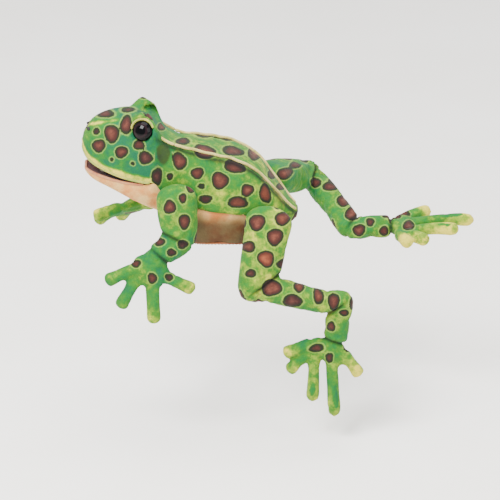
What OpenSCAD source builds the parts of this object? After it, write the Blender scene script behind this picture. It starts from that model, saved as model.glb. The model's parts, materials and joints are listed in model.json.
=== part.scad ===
// Frog hand puppet: a sewn glove body with a working mouth, and stuffed, jointed limbs.
// Millimetres. +Z is up, the snout points to -X and the frog's own left side is -Y.
// The origin is the centre of the hand opening, under the belly.

/* [Body] */
// From the hand opening's centre forward to the neck
front_reach = 70; // [60:1:90]
// From the hand opening's centre back to the rump
rear_reach = 90; // [75:1:110]
// Widest part of the body
body_w = 101; // [90:1:125]
// Height of the middle of the back above the hand opening
back_h = 132; // [115:1:160]
// Rise of the back between its two ridges
back_crown = 2; // [0:0.5:6]
// Half length of the hand opening
opening_half_l = 45; // [38:1:50]
// Half width of the hand opening
opening_half_w = 37; // [30:1:40]
// Thickness of the plush skin
skin = 2.4; // [1.5:0.1:3]
// Thickness of the inner glove lining
lining = 1; // [0.8:0.1:1.4]
// Radius of the piping along each ridge of the back
welt_r = 1.7; // [1:0.1:2.5]

/* [Head] */
// Length of the head from the snout to the neck
head_l = 95; // [85:1:112]
// Width of the head at the corners of the mouth
head_w = 89; // [80:1:105]
// Height of the head above the corners of the mouth
head_h = 76; // [68:1:90]
// Open length left at the neck for nodding
neck_gap = 14; // [12:1:20]
// Length of the lower jaw
jaw_l = 77; // [65:1:85]
// How much narrower the lower jaw is than the upper lip, each side
jaw_inset = 2.2; // [1:0.2:5]
// Thickness of the stiff boards in the mouth
board = 1.8; // [1:0.1:3]
// Radius of each glossy eye
eye_r = 13; // [10:0.1:13.5]
// Height of each eye above its rim
eye_h = 9.5; // [6:0.1:12]

/* [Limbs] */
// Shoulder to elbow
upper_arm_l = 53; // [45:1:65]
// Elbow to wrist
forearm_l = 32; // [28:1:42]
// Width of the upper arm, seen from the side
arm_w = 44; // [36:1:50]
// Thickness of the upper arm
arm_t = 29; // [24:1:32]
// Length of each hand without its fingers
palm_l = 43; // [36:1:50]
// Width of each hand
palm_w = 51; // [44:1:58]
// Hip to knee
thigh_l = 98; // [88:1:118]
// Knee to ankle
shank_l = 106; // [95:1:125]
// Ankle to foot
tarsus_l = 50; // [44:1:60]
// Width of the thigh, seen from the side
thigh_w = 58; // [48:1:60]
// Thickness of the thigh
thigh_t = 37; // [32:1:40]
// Width of the shank
shank_w = 34; // [28:1:38]
// Length of each foot without its toes
foot_l = 29; // [25:1:36]
// Width of each foot
foot_w = 56; // [48:1:62]
// Thickness of hands and feet
pad_t = 16; // [12:1:18]
// Clearance between the body and the limbs beside it
limb_gap = 3; // [2:0.5:6]

/* [Hidden] */

GREEN = [0.27, 0.56, 0.30];
LEAF = [0.45, 0.64, 0.24];
LIME = [0.62, 0.74, 0.33];
CREAM = [0.88, 0.85, 0.50];
PEACH = [0.88, 0.64, 0.42];
RED = [0.42, 0.10, 0.08];
WADDING = [0.93, 0.92, 0.88];

// Gap left where two pieces of one body lie against each other
touch = 0.4;
// Gap left on each side of a stitched hinge, and half the thickness of the flat seam there
hinge_gap = 1.5;
seam_half = 0.6;
// Steepest rise of a stuffed limb from its hinge seam, so that a bent joint stays clear
seam_slope = 0.62;

function unit(v) = v / norm(v);
function mix(a, b, t) = a + (b - a) * t;
function square_to(v, d) = unit(v - (v * d) * d);
function heading(turn, rise) = [cos(turn) * cos(rise), sin(turn) * cos(rise), sin(rise)];
function steps(n) = [for (i = [0:n]) i / n];
function power(value, exponent) = pow(max(value, 0), exponent);

// ---- Solids from rows of points ----

// Faces of a wall of quads between rows i and i + 1 of n points each; first is the index of row 0
function wall_faces(rows, n, first, closed, flip) = [
    for (i = [0:rows - 2], j = [0:(closed ? n - 1 : n - 2)])
        let (k = (j + 1) % n, a = first + i * n + j, b = first + i * n + k,
             c = first + (i + 1) * n + k, d = first + (i + 1) * n + j)
        each (flip ? [[a, b, c], [a, c, d]] : [[a, c, b], [a, d, c]])
];

// A quad as two triangles
function quad(a, b, c, d) = [[a, b, c], [a, c, d]];

// A closed solid from a list of rings, each one a loop of the same number of points
module loft(rings) {
    n = len(rings[0]);
    last = (len(rings) - 1) * n;
    polyhedron([for (r = rings) each r], concat(
        wall_faces(len(rings), n, 0, true, false),
        [[for (j = [0:n - 1]) j]],
        [[for (j = [n - 1:-1:0]) last + j]]));
}

// A sheet of cloth from its outer and inner rows of points, with all four edges closed
module sheet(outer, inner) {
    rows = len(outer);
    n = len(outer[0]);
    half = rows * n;
    polyhedron([for (r = concat(outer, inner)) each r], concat(
        wall_faces(rows, n, 0, false, false),
        wall_faces(rows, n, half, false, true),
        [for (j = [0:n - 2]) each quad(j, j + 1, half + j + 1, half + j)],
        [for (j = [0:n - 2]) let (e = (rows - 1) * n) each
            quad(e + j + 1, e + j, half + e + j, half + e + j + 1)],
        [for (i = [0:rows - 2]) let (a = i * n, b = (i + 1) * n) each
            quad(b, a, half + a, half + b)],
        [for (i = [0:rows - 2]) let (a = i * n + n - 1, b = (i + 1) * n + n - 1) each
            quad(a, b, half + b, half + a)]));
}

// A sheet whose rows are closed loops: a sleeve, or a panel with a hole
module sleeve(outer, inner) {
    rows = len(outer);
    n = len(outer[0]);
    half = rows * n;
    e = (rows - 1) * n;
    polyhedron([for (r = concat(outer, inner)) each r], concat(
        wall_faces(rows, n, 0, true, false),
        wall_faces(rows, n, half, true, true),
        [for (j = [0:n - 1]) let (k = (j + 1) % n) each quad(j, k, half + k, half + j)],
        [for (j = [0:n - 1]) let (k = (j + 1) % n) each
            quad(e + k, e + j, half + e + j, half + e + k)]));
}

// A hood: a sheet over arches, closed at its first row and open below and at its last row
module hood(outer, inner) {
    rows = len(outer);
    n = len(outer[0]);
    half = rows * n;
    polyhedron([for (r = concat(outer, inner)) each r], concat(
        wall_faces(rows, n, 0, false, false),
        wall_faces(rows, n, half, false, true),
        [[for (j = [0:n - 1]) j]],
        [[for (j = [n - 1:-1:0]) half + j]],
        quad(0, n - 1, half + n - 1, half),
        [for (j = [0:n - 2]) let (e = (rows - 1) * n) each
            quad(e + j + 1, e + j, half + e + j, half + e + j + 1)],
        [for (i = [0:rows - 2]) let (a = i * n, b = (i + 1) * n) each
            quad(b, a, half + a, half + b)],
        [for (i = [0:rows - 2]) let (a = i * n + n - 1, b = (i + 1) * n + n - 1) each
            quad(a, b, half + b, half + a)]));
}

// A tube of the given radius along a list of points, with its sides counted round
module tube(path, r, sides = 6) {
    last = len(path) - 1;
    loft([for (i = [0:last])
        let (d = unit(path[min(i + 1, last)] - path[max(i - 1, 0)]),
             a = square_to([0.13, 0.2, 1], d), b = cross(d, a))
        [for (j = [0:sides - 1]) path[i] + r * (cos(j * 360 / sides) * a + sin(j * 360 / sides) * b)]]);
}

// ---- Body surface, as shares of the body's own sizes; u runs from the neck to the rump ----

function body_x(u) = mix(-front_reach, rear_reach, u);
function body_u(x) = (x + front_reach) / (front_reach + rear_reach);
function half_w(u) = body_w / 2 * lookup(u, [[0, 0.84], [0.07, 0.87], [0.19, 0.93], [0.38, 1],
    [0.53, 1], [0.69, 0.91], [0.81, 0.73], [0.91, 0.5], [0.975, 0.26], [1, 0.16]]);
function ridge_w(u) = body_w / 2 * lookup(u, [[0, 0.66], [0.44, 0.65], [0.675, 0.59], [0.75, 0.53],
    [0.825, 0.44], [0.9, 0.34], [0.975, 0.22], [1, 0.12]]);
function ridge_z(u) = back_h * lookup(u, [[0, 1.08], [0.09, 1.02], [0.19, 1], [0.31, 0.955],
    [0.49, 0.924], [0.6, 0.864], [0.675, 0.81], [0.75, 0.712], [0.825, 0.59], [0.9, 0.462],
    [0.975, 0.35], [1, 0.32]]);
function seam_z(u) = back_h * lookup(u, [[0, 0.47], [0.19, 0.44], [0.44, 0.39], [0.69, 0.36],
    [0.87, 0.32], [1, 0.27]]);
// Share of the half width at which the level edge of the opening lies
function rim_share(u) =
    opening_half_w * sqrt(max(0, 1 - pow(body_x(u) / opening_half_l, 2))) / half_w(u);
// The belly lies level round the opening and rises to the throat and the rump
function belly_z(u) =
    let (x = body_x(u), level = opening_half_l + 2)
    x < -level ? back_h * 0.24 * power((-x - level) / (front_reach - level), 1.2)
    : x > level ? back_h * 0.21 * power((x - level) / (rear_reach - level), 1.3)
    : 0;

// Points of the surface, sunk by inset; side is 1 or -1
function side_point(u, g, inset) =
    let (w = half_w(u) - inset, r = ridge_w(u) - inset / 2, z = seam_z(u))
    [body_x(u), -(r + (w - r) * power(cos(90 * g), 0.8)), z + (ridge_z(u) - inset - z) * sin(90 * g)];
function back_point(u, f, inset) =
    [body_x(u), f * (ridge_w(u) - inset / 2), ridge_z(u) - inset + back_crown * (1 - f * f)];
function belly_point(u, f, inset) =
    let (z = belly_z(u) + inset, level = rim_share(u), rise = (abs(f) - level) / (1 - level))
    [body_x(u), f * half_w(u) - sign(f) * inset * min(1, max(0, rise)),
     z + (seam_z(u) - z) * power(rise, 2.5 - 1.2 * level)];

body_rows = steps(15);
edge = 0.012;

module back_panel() {
    color(LEAF)
    sheet([for (u = body_rows) [for (f = steps(6)) back_point(u, mix(-1, 1, f) * (1 - edge), 0)]],
          [for (u = body_rows) [for (f = steps(6)) back_point(u, mix(-1, 1, f) * (1 - edge), skin)]]);
}

module side_panel_left() {
    color(LEAF)
    sheet([for (u = body_rows) [for (g = steps(6)) side_point(u, mix(edge, 1 - edge, g), 0)]],
          [for (u = body_rows) [for (g = steps(6)) side_point(u, mix(edge, 1 - edge, g), skin)]]);
}

module side_panel_right() {
    mirror([0, 1, 0]) side_panel_left();
}

// The belly behind the chest is one panel with the hand opening in it
chest_end = body_u(-opening_half_l - 8);

// A point of the belly panel: way 0 is the rim of the opening and 1 the panel's outer edge
function belly_ring_point(turn, way, inset) =
    let (rim = [opening_half_l * cos(turn), opening_half_w * sin(turn)],
         rim_u = body_u(rim[0]), rim_f = rim[1] / half_w(rim_u),
         middle = body_u(0),
         reach_u = cos(turn) < 0 ? middle - chest_end - edge / 2 : 1 - middle,
         grow = min(reach_u / max(0.0001, abs(cos(turn))), (1 - edge) / max(0.0001, abs(sin(turn)))))
    belly_point(mix(rim_u, middle + grow * cos(turn), way), mix(rim_f, grow * sin(turn), way), inset);

module belly_panel() {
    turns = [for (j = [0:31]) -j * 360 / 32];
    color(PEACH)
    sleeve([for (way = steps(5)) [for (t = turns) belly_ring_point(t, way, 0)]],
           [for (way = steps(5)) [for (t = turns) belly_ring_point(t, way, skin)]]);
}

module chest_panel() {
    color(PEACH)
    sheet([for (u = steps(2)) [for (f = steps(10)) belly_point(u * chest_end, mix(1, -1,
        f) * (1 - edge), 0)]],
          [for (u = steps(2)) [for (f = steps(10)) belly_point(u * chest_end, mix(1, -1,
              f) * (1 - edge), skin)]]);
}

// Piping sewn into the seam between the back and the side
ridge_lift = welt_r + 2 * touch + 0.5;
function ridge_run(u) = unit(back_point(min(1, u + 0.03), -1, 0) - back_point(max(0, u - 0.03), -1, 0));
module ridge_welt_left() {
    color(CREAM) tube([for (u = body_rows)
        back_point(u, -1, 0) + ridge_lift * square_to([0, -0.75, 1], ridge_run(u))], welt_r);
}

module ridge_welt_right() {
    mirror([0, 1, 0]) ridge_welt_left();
}

// The lining hangs from the sides and the back, and is open below and at the neck
lining_outer = skin + touch + 0.4;
function lining_row(u, inset) = concat(
    [for (g = steps(5)) side_point(u, g, inset)],
    [for (f = [-0.5:0.5:0.5]) back_point(u, f, inset)],
    [for (g = [5:-1:0]) let (p = side_point(u, g / 5, inset)) [p[0], -p[1], p[2]]]);

module glove_lining() {
    rows = [for (t = steps(10)) mix(0.005, 0.9, t)];
    color(WADDING)
    sheet([for (u = rows) lining_row(u, lining_outer)],
          [for (u = rows) lining_row(u, lining_outer + lining)]);
}

// Bound edge of the hand opening
binding_t = 2;
binding_drop = 1.6;
binding_rise = 4.2;
function binding_loop(inset, z) = [for (j = [0:31])
    [(opening_half_l - inset) * cos(j * 360 / 32), (opening_half_w - inset) * sin(j * 360 / 32), z]];

module opening_binding() {
    outer = touch;
    color(GREEN)
    sleeve([binding_loop(outer, -binding_drop), binding_loop(outer, binding_rise)],
           [binding_loop(outer + binding_t, -binding_drop), binding_loop(outer + binding_t, binding_rise)]);
}

// ---- Head surface; v runs from the snout to the neck ----

head_rear = -front_reach - neck_gap;
mouth = [head_rear - 4, 0, back_h * 0.682];
neck = [-front_reach - neck_gap / 2, 0, back_h * 0.72];

function head_x(v) = head_rear - head_l * (1 - v);
function head_v(x) = 1 - (head_rear - x) / head_l;
function lip_w(v) = head_w / 2 * lookup(v, [[0, 0.08], [0.04, 0.25], [0.09, 0.4], [0.165, 0.53],
    [0.32, 0.72], [0.58, 0.9], [0.9, 0.99], [1, 1]]);
function lip_z(v) = mouth[2] + head_h * lookup(v, [[0, 0.487], [0.04, 0.42], [0.12, 0.3],
    [0.32, 0.197], [0.58, 0.092], [0.9, 0.026], [1, 0.013]]);
function top_z(v) = mouth[2] + head_h * lookup(v, [[0, 0.6], [0.04, 0.76], [0.165, 0.92],
    [0.32, 1.01], [0.47, 1.07], [0.64, 1.08], [0.84, 1], [1, 0.82]]);

// A point of the head: angle 0 is the left lip, 90 the top and 180 the right lip
function head_point(v, angle, inset, push = 0) =
    let (w = max(lip_w(v) - inset, 0.6), low = lip_z(v), high = top_z(v) - inset, c = cos(angle))
    [head_x(v) + push, -sign(c) * w * power(abs(c), 0.72), low + (max(high,
        low + 1) - low) * power(sin(angle), 0.86)];

// Smallest angle of the arch that clears the lip plane by a height
function arch_start(height, span, exponent) = asin(min(0.9, power(height / span, 1 / exponent)));

head_rows = [0, 0.04, 0.09, 0.165, 0.25, 0.36, 0.48, 0.6, 0.72, 0.84, 1];
stuffed_rows = [0.09, 0.165, 0.25, 0.36, 0.48, 0.6, 0.72, 0.84, 0.92];
palate_rows = [0.09, 0.165, 0.25, 0.36, 0.48, 0.6, 0.72, 0.84, 0.92];
head_arch = [for (j = [0:12]) j * 15];

module head_shell() {
    color(GREEN)
    hood([for (v = head_rows) [for (a = head_arch) head_point(v, a, 0)]],
         [for (v = head_rows) [for (a = head_arch) head_point(v, a, skin, skin * (1 - v))]]);
}

// Heights above the lip plane of the layers over the mouth
palate_low = 0.2;
board_low = palate_low + lining + touch;
pocket_low = board_low + board + touch;
pocket_h = 22;
pocket_half_w = 27;
pocket_front = 0.24;

// An arch over the palate board, from the knuckles to the fingertips
function pocket_point(v, angle, inset, push = 0) =
    let (w = min(pocket_half_w, lip_w(v) - skin - 4) - inset, c = cos(angle))
    [head_x(v) + push, -sign(c) * w * power(abs(c), 0.5),
     lip_z(v) + pocket_low + (pocket_h - inset) * power(sin(angle), 0.5)];

pocket_rows = [for (t = steps(6)) mix(pocket_front, 0.96, t)];
pocket_arch = [for (j = [0:8]) j * 22.5];

module finger_pocket() {
    color(WADDING)
    hood([for (v = pocket_rows) [for (a = pocket_arch) pocket_point(v, a, 0)]],
         [for (v = pocket_rows) [for (a = pocket_arch) pocket_point(v, a, lining, lining)]]);
}

// Wadding between the finger pocket and the skin, clear of both and of the palate board
stuffing_gap = 1.6;
module head_stuffing() {
    inset = skin + stuffing_gap;
    inner = [for (t = steps(len(stuffed_rows) - 1)) mix(pocket_front - 0.03, 0.92, t)];
    arch = function (v) let (a0 = arch_start(pocket_low + touch, top_z(v) - lip_z(v) - inset, 0.86))
        [for (t = steps(12)) mix(a0, 180 - a0, t)];
    color(WADDING)
    hood([for (v = stuffed_rows) [for (a = arch(v)) head_point(v, a, inset, inset * (1 - v))]],
         [for (v = inner) [for (a = head_arch) pocket_point(v, a, -touch - 0.4)]]);
}

// A flat layer that follows the upper lip's curve, between two heights above it
module palate_layer(inset, low, high) {
    grid = function (h) [for (v = palate_rows) [for (f = steps(6))
        [head_x(v), mix(-1, 1, f) * (lip_w(v) - inset), lip_z(v) + h]]];
    sheet(grid(high), grid(low));
}

module palate_lining() {
    color(RED) palate_layer(skin + 3 * touch, palate_low, palate_low + lining);
}

module palate_board() {
    color(WADDING) palate_layer(skin + 6 * touch, board_low, board_low + board);
}

// Piping round the upper lip, along one side, over the snout and back along the other
function lip_path(v_list, drop) = concat(
    [for (i = [len(v_list) - 1:-1:0]) let (v = v_list[i])
        [head_x(v) - drop * (1 - v), -lip_w(v) - drop * v, lip_z(v) - drop]],
    [for (v = v_list) [head_x(v) - drop * (1 - v), lip_w(v) + drop * v, lip_z(v) - drop]]);

lip_r = 1.3;
module upper_lip_welt() {
    color(LIME) tube(lip_path([for (t = steps(9)) mix(0.03, 0.95, t)], lip_r + touch / 2), lip_r);
}

// ---- Eyes: the left one is placed here and the right one mirrors it ----

eye_v = 0.86;
eye_angle = 53;
eye_aim = unit([-0.35, -1, 0.42]);
eye_seat = head_point(eye_v, eye_angle, 0) + 3.2 * eye_aim;
eye_side = square_to([1, 0, 0], eye_aim);
eye_up = cross(eye_aim, eye_side) * -1;

// Turns a piece made along +Z so that it points where an eye looks; side is 1 for the left and -1 for
// the right
module at_eye(shift = 0, side = 1) {
    at = eye_seat + shift * eye_aim;
    translate([at[0], side * at[1], at[2]])
        rotate([0, acos(eye_aim[2]), atan2(side * eye_aim[1], eye_aim[0])]) children();
}

// A plastic eye: a dome on a thin rim with a stem through the skin
eye_rim_t = 1;
stem_r = 2.4;
stem_l = 16.6;
module eye_left() {
    dome_r = (eye_r * eye_r + eye_h * eye_h) / (2 * eye_h);
    color([0.06, 0.05, 0.05]) at_eye() {
        rotate_extrude($fn = 48) union() {
            polygon([[0, 0], [eye_r, 0], [eye_r, eye_rim_t], [0, eye_rim_t]]);
            intersection() {
                translate([0, eye_rim_t + eye_h - dome_r]) circle(dome_r);
                translate([0, eye_rim_t]) square([eye_r, eye_h]);
            }
        }
        translate([0, 0, -stem_l]) cylinder(r = stem_r, h = stem_l, $fn = 24);
    }
}

module eye_right() {
    mirror([0, 1, 0]) eye_left();
}

// Locking washers on the two stems, inside the head
module eye_washers() {
    washer_r = 4.4;
    washer_t = 1.5;
    color(CREAM) for (flip = [0, 1]) mirror([0, flip, 0])
        at_eye(-stem_l + 1) difference() {
            cylinder(r = washer_r, h = washer_t, $fn = 32);
            translate([0, 0, -1]) cylinder(r = stem_r + 0.05, h = washer_t + 2, $fn = 24);
        }
}

// A padded bulge over each eye, cut away where the eye and its lid sit
mound_r = 19;
mound_h = 13;
module eye_mound(side) {
    lean = unit([0.05, -0.35, 1]);
    centre_v = eye_v + 0.02;
    centre_a = eye_angle + 11;
    ring = function (r, lift) [for (j = [0:15]) let (t = -side * j * 22.5,
        p = head_point(centre_v + r * mound_r / head_l * cos(t), centre_a + r * 21 * sin(t), 0) + lift * lean)
        [p[0], side * p[1], p[2]]];
    base = 1.1;
    rises = [for (r = [1, 0.85, 0.6, 0.3, 0.08]) ring(r, base + mound_h * power(1 - r * r, 0.55) + 0.3)];
    color(GREEN) difference() {
        loft(concat([for (r = [0.08, 0.5, 1]) ring(r, base)], rises));
        at_eye(-stem_l - 2, side) linear_extrude(stem_l + 25)
            polygon([for (a = [0:15:345]) (eye_r + 3) * [cos(a), sin(a)]]);
    }
}

module eye_mound_left() {
    eye_mound(1);
}

module eye_mound_right() {
    eye_mound(-1);
}

// Light rims that lie over the eyes
lid_r = 1.1;
lid_lift = 3.8;
module eyelid_rims() {
    reach = eye_r + lid_r + touch;
    color(CREAM) for (flip = [0, 1]) mirror([0, flip, 0])
        tube([for (i = [0:9]) let (a = 20 + i * 15)
            eye_seat + reach * (cos(a) * eye_side + sin(a) * eye_up) + lid_lift * eye_aim], lid_r);
}

// Sewn nostrils
module nostril_stitches() {
    color([0.2, 0.16, 0.1]) for (flip = [0, 1]) mirror([0, flip, 0])
        translate(head_point(0.1, 62, 0)) rotate([0, -50, 0]) {
            cylinder(r = 1.8, h = 0.8, $fn = 16);
            translate([0, 0, -skin]) cylinder(r = 0.8, h = skin, $fn = 16);
        }
}

// ---- Lower jaw; w runs from its tip to the throat ----

function jaw_x(w) = mouth[0] - 10 - jaw_l * (1 - w);
function jaw_w(w) = max(lip_w(head_v(jaw_x(w))) - jaw_inset, 2);
function jaw_lip_z(w) = mouth[2] + head_h * lookup(w, [[0, 0.11], [0.15, 0.085], [0.35, 0.045],
    [0.7, -0.015], [1, -0.055]]);
function jaw_low_z(w) = mouth[2] + head_h * lookup(w, [[0, 0.035], [0.18, -0.07], [0.38, -0.18],
    [0.58, -0.3], [0.78, -0.43], [1, -0.53]]);

// A point of the jaw: angle 0 is its right lip, 90 its underside and 180 its left lip
function jaw_point(w, angle, inset, push = 0) =
    let (half = jaw_w(w) - inset, high = jaw_lip_z(w), low = jaw_low_z(w) + inset, c = cos(angle))
    [jaw_x(w) + push, sign(c) * half * power(abs(c), 0.7), high - (high - min(low,
        high - 1)) * power(sin(angle), 0.85)];

jaw_rows = [0, 0.06, 0.14, 0.26, 0.4, 0.55, 0.7, 0.85, 1];
jaw_arch = [for (j = [0:10]) j * 18];

module jaw_shell() {
    color(PEACH)
    hood([for (w = jaw_rows) [for (a = jaw_arch) jaw_point(w, a, 0)]],
         [for (w = jaw_rows) [for (a = jaw_arch) jaw_point(w, a, skin, skin * (1 - w))]]);
}

jaw_layer_rows = [0.14, 0.26, 0.4, 0.55, 0.7, 0.85, 0.99];
module jaw_layer(inset, high, low) {
    grid = function (h) [for (w = jaw_layer_rows) [for (f = steps(6))
        [jaw_x(w), mix(-1, 1, f) * (jaw_w(w) - inset), jaw_lip_z(w) - h]]];
    sheet(grid(high), grid(low));
}

module jaw_lining() {
    color(RED) jaw_layer(skin + 4 * touch, palate_low, palate_low + lining);
}

module jaw_board() {
    color(WADDING) jaw_layer(skin + 6 * touch, board_low, board_low + board);
}

// The thumb's pocket hangs under the jaw board
thumb_front = 0.42;
thumb_half_w = 17;
thumb_side_gap = 6;
function thumb_point(w, angle, inset, push = 0) =
    let (half = min(thumb_half_w, jaw_w(w) - thumb_side_gap) - inset, c = cos(angle),
         high = jaw_lip_z(w) - pocket_low, low = max(jaw_low_z(w) + skin + 2.4, high - 20) + inset)
    [jaw_x(w) + push, sign(c) * half * power(abs(c), 0.5), high - (high - low) * power(sin(angle), 0.5)];

module thumb_pocket() {
    rows = [for (t = steps(5)) mix(thumb_front, 0.99, t)];
    color(WADDING)
    hood([for (w = rows) [for (a = pocket_arch) thumb_point(w, a, 0)]],
         [for (w = rows) [for (a = pocket_arch) thumb_point(w, a, lining, lining)]]);
}

// Wadding in the front of the jaw, ahead of the thumb
module jaw_stuffing() {
    inset = skin + stuffing_gap;
    arch = function (w) let (a0 = arch_start(pocket_low + touch, jaw_lip_z(w) - jaw_low_z(w) - inset, 0.85))
        [for (t = steps(10)) mix(a0, 180 - a0, t)];
    color(WADDING) loft([for (w = [0.14, 0.26, thumb_front - 0.03]) [for (a = arch(w)) jaw_point(w, a,
        inset)]]);
}

module lower_lip_welt() {
    rows = [for (t = steps(8)) mix(0.0, 0.98, t)];
    out = lip_r + touch;
    color(LIME) tube(concat(
        [for (i = [8:-1:0]) let (w = rows[i])
            [jaw_x(w) - out * (1 - w), -jaw_w(w) - out, jaw_lip_z(w) - lip_r]],
        [for (w = rows) [jaw_x(w) - out * (1 - w), jaw_w(w) + out, jaw_lip_z(w) - lip_r]]), lip_r);
}

// ---- Limbs: each segment is a row of ovals between two hinge seams ----

// The ovals stand on the axes a and b, which turn from the first pair to the last along the
// segment; profile rows are [distance from the start, half size along a, half size along b]
segment_sides = 12;
module segment(start, finish, first, last, profile, trim_start = hinge_gap, trim_end = hinge_gap) {
    d = unit(finish - start);
    reach = norm(finish - start) - trim_start - trim_end;
    base = profile[len(profile) - 1][0];
    loft([for (row = profile)
        let (t = row[0] / base, a = unit(mix(first[0], last[0], t)), b = unit(mix(first[1], last[1], t)))
        [for (j = [0:segment_sides - 1]) let (angle = j * 360 / segment_sides)
            start + (trim_start + t * reach) * d + row[1] * cos(angle) * a + row[2] * sin(angle) * b]]);
}

// Half size at a distance s from a hinge seam, swelling to full
function swell(s, full) = min(full, seam_half + s * seam_slope);

// Axes of a hinge whose two segments run along d0 and d1
function bend_axis(d0, d1) = unit(cross(d0, d1));
// The oval's two axes at a seam: along the hinge, and square to it and to the segment
function frame_at(axis, d) = [axis, unit(cross(d, axis))];
// A direction that agrees in sense with another
function alike(v, other) = v * other < 0 ? -v : v;

// -- Pose: the turn about +Z from +X and the rise of each segment --
arm_dirs_left = [heading(-60, -85), heading(202, -30), heading(193, -62)];
arm_dirs_right = [heading(112, -69), heading(182, -14), heading(150, -31)];
leg_dirs_left = [heading(215, -80), heading(0, -11), heading(188, -82), heading(190, -62)];
leg_dirs_right = [heading(56, -16), heading(-58, -23), heading(0, 3), heading(0, 2)];

shoulder_u = 0.07;
hip_u = 0.775;
shoulder_left = [body_x(shoulder_u), -(half_w(shoulder_u) + limb_gap + arm_t / 2), back_h * 0.58];
shoulder_right = [body_x(shoulder_u) + 2, half_w(shoulder_u) + limb_gap + arm_t / 2, back_h * 0.6];
hip_left = [body_x(hip_u), -(half_w(hip_u - 0.05) + limb_gap + thigh_t / 2), back_h * 0.45];
hip_right = [body_x(hip_u), half_w(hip_u) + limb_gap + thigh_t / 2 - 4, back_h * 0.46];

function along(start, dirs, lengths, count) =
    count == 0 ? start : along(start, dirs, lengths, count - 1) + dirs[count - 1] * lengths[count - 1];

arm_lengths = [upper_arm_l, forearm_l, palm_l];
leg_lengths = [thigh_l, shank_l, tarsus_l, foot_l];
elbow_left = along(shoulder_left, arm_dirs_left, arm_lengths, 1);
wrist_left = along(shoulder_left, arm_dirs_left, arm_lengths, 2);
elbow_right = along(shoulder_right, arm_dirs_right, arm_lengths, 1);
wrist_right = along(shoulder_right, arm_dirs_right, arm_lengths, 2);
knee_left = along(hip_left, leg_dirs_left, leg_lengths, 1);
ankle_left = along(hip_left, leg_dirs_left, leg_lengths, 2);
instep_left = along(hip_left, leg_dirs_left, leg_lengths, 3);
knee_right = along(hip_right, leg_dirs_right, leg_lengths, 1);
ankle_right = along(hip_right, leg_dirs_right, leg_lengths, 2);
instep_right = along(hip_right, leg_dirs_right, leg_lengths, 3);

// Hinge axes
shoulder_axis_left = square_to([0, 1, 0], arm_dirs_left[0]);
shoulder_axis_right = square_to([0, 1, 0], arm_dirs_right[0]);
elbow_axis_left = alike(bend_axis(arm_dirs_left[0], arm_dirs_left[1]), [0, 1, 0]);
elbow_axis_right = alike(bend_axis(arm_dirs_right[0], arm_dirs_right[1]), [0, 1, 0]);
// A hand or foot bends about its own width; its normal is the direction of its thickness
hand_normal_left = square_to([-0.1, -1, 0.1], arm_dirs_left[2]);
hand_normal_right = square_to([-0.25, 0.45, 1], arm_dirs_right[2]);
wrist_axis_left = unit(cross(hand_normal_left, unit(arm_dirs_left[1] + arm_dirs_left[2])));
wrist_axis_right = unit(cross(hand_normal_right, unit(arm_dirs_right[1] + arm_dirs_right[2])));

hip_axis_left = square_to([0, 1, 0], leg_dirs_left[0]);
hip_axis_right = square_to([0, 0, 1], leg_dirs_right[0]);
knee_axis_left = alike(bend_axis(leg_dirs_left[0], leg_dirs_left[1]), [0, 1, 0]);
knee_axis_right = alike(bend_axis(leg_dirs_right[0], leg_dirs_right[1]), [0, 0, 1]);
ankle_axis_left = alike(bend_axis(leg_dirs_left[1], leg_dirs_left[2]), [0, 1, 0]);
ankle_axis_right = alike(bend_axis(leg_dirs_right[1], leg_dirs_right[2]), [0, 0, 1]);
foot_normal_left = square_to([0, -1, 0.1], leg_dirs_left[3]);
foot_normal_right = square_to([0, -0.05, 1], leg_dirs_right[3]);
instep_axis_left = unit(cross(foot_normal_left, [0, 0, -1]));
instep_axis_right = unit(cross(foot_normal_right, leg_dirs_right[3]));

// Upper arm: a round top beside the body, narrowing to the elbow seam
module upper_arm(shoulder, elbow, top_axis, elbow_axis) {
    d = unit(elbow - shoulder);
    l = upper_arm_l;
    a = arm_t / 2;
    b = arm_w / 2;
    segment(shoulder, elbow, frame_at(top_axis, d), frame_at(elbow_axis, d), [
        [0, a * 0.45, b * 0.4], [l * 0.07, a * 0.75, b * 0.7], [l * 0.2, a * 0.95, b * 0.92],
        [l * 0.4, a, b], [l * 0.6, a * 0.97, swell(l * 0.4, b)], [l * 0.82, a * 0.9, swell(l * 0.18, b)],
        [l, a * 0.8, seam_half]], -b * 0.55);
}

// Forearm: its first seam lies across the bend and its last one across the hand
module forearm(elbow, wrist, elbow_axis, wrist_axis, normal) {
    d = unit(wrist - elbow);
    l = forearm_l;
    a = arm_t * 0.44;
    b = arm_w * 0.31;
    first = frame_at(elbow_axis, d);
    flat = alike(normal, first[0]);
    last = [flat, alike(wrist_axis, first[1])];
    segment(elbow, wrist, first, last, [
        [0, a * 0.92, seam_half], [l * 0.25, a, swell(l * 0.25, b)], [l * 0.5, a, swell(l * 0.5, b)],
        [l * 0.75, swell(l * 0.25, a), b], [l, seam_half, b]]);
}

// Palm or foot: a rounded pad that starts flat at its seam; half_w is its half width there
module pad(start, finish, normal, width_axis, half, seam_w) {
    l = norm(finish - start);
    h = pad_t / 2;
    d = unit(finish - start);
    b = alike(width_axis, cross(d, normal));
    segment(start, finish, [normal, b], [normal, b], [
        [0, seam_half, seam_w], [l * 0.14, h * 0.55, mix(seam_w, half, 0.55)],
        [l * 0.35, h * 0.95, half * 0.95], [l * 0.58, h, half], [l * 0.82, h * 0.85, half * 0.85],
        [l, h * 0.4, half * 0.5]], hinge_gap, 0);
}

// One digit: a stuffed tube with a round tip
module digit(root, d, length, r, normal) {
    a = square_to(normal, d);
    segment(root, root + length * d, frame_at(a, d), frame_at(a, d), [
        [0, r * 0.85, r * 0.85], [length * 0.3, r * 0.95, r * 0.95], [length - r, r, r],
        [length - r * 0.45, r * 0.83, r * 0.83], [length - r * 0.12, r * 0.45, r * 0.45],
        [length, r * 0.15, r * 0.15]], 0, 0);
}

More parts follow.
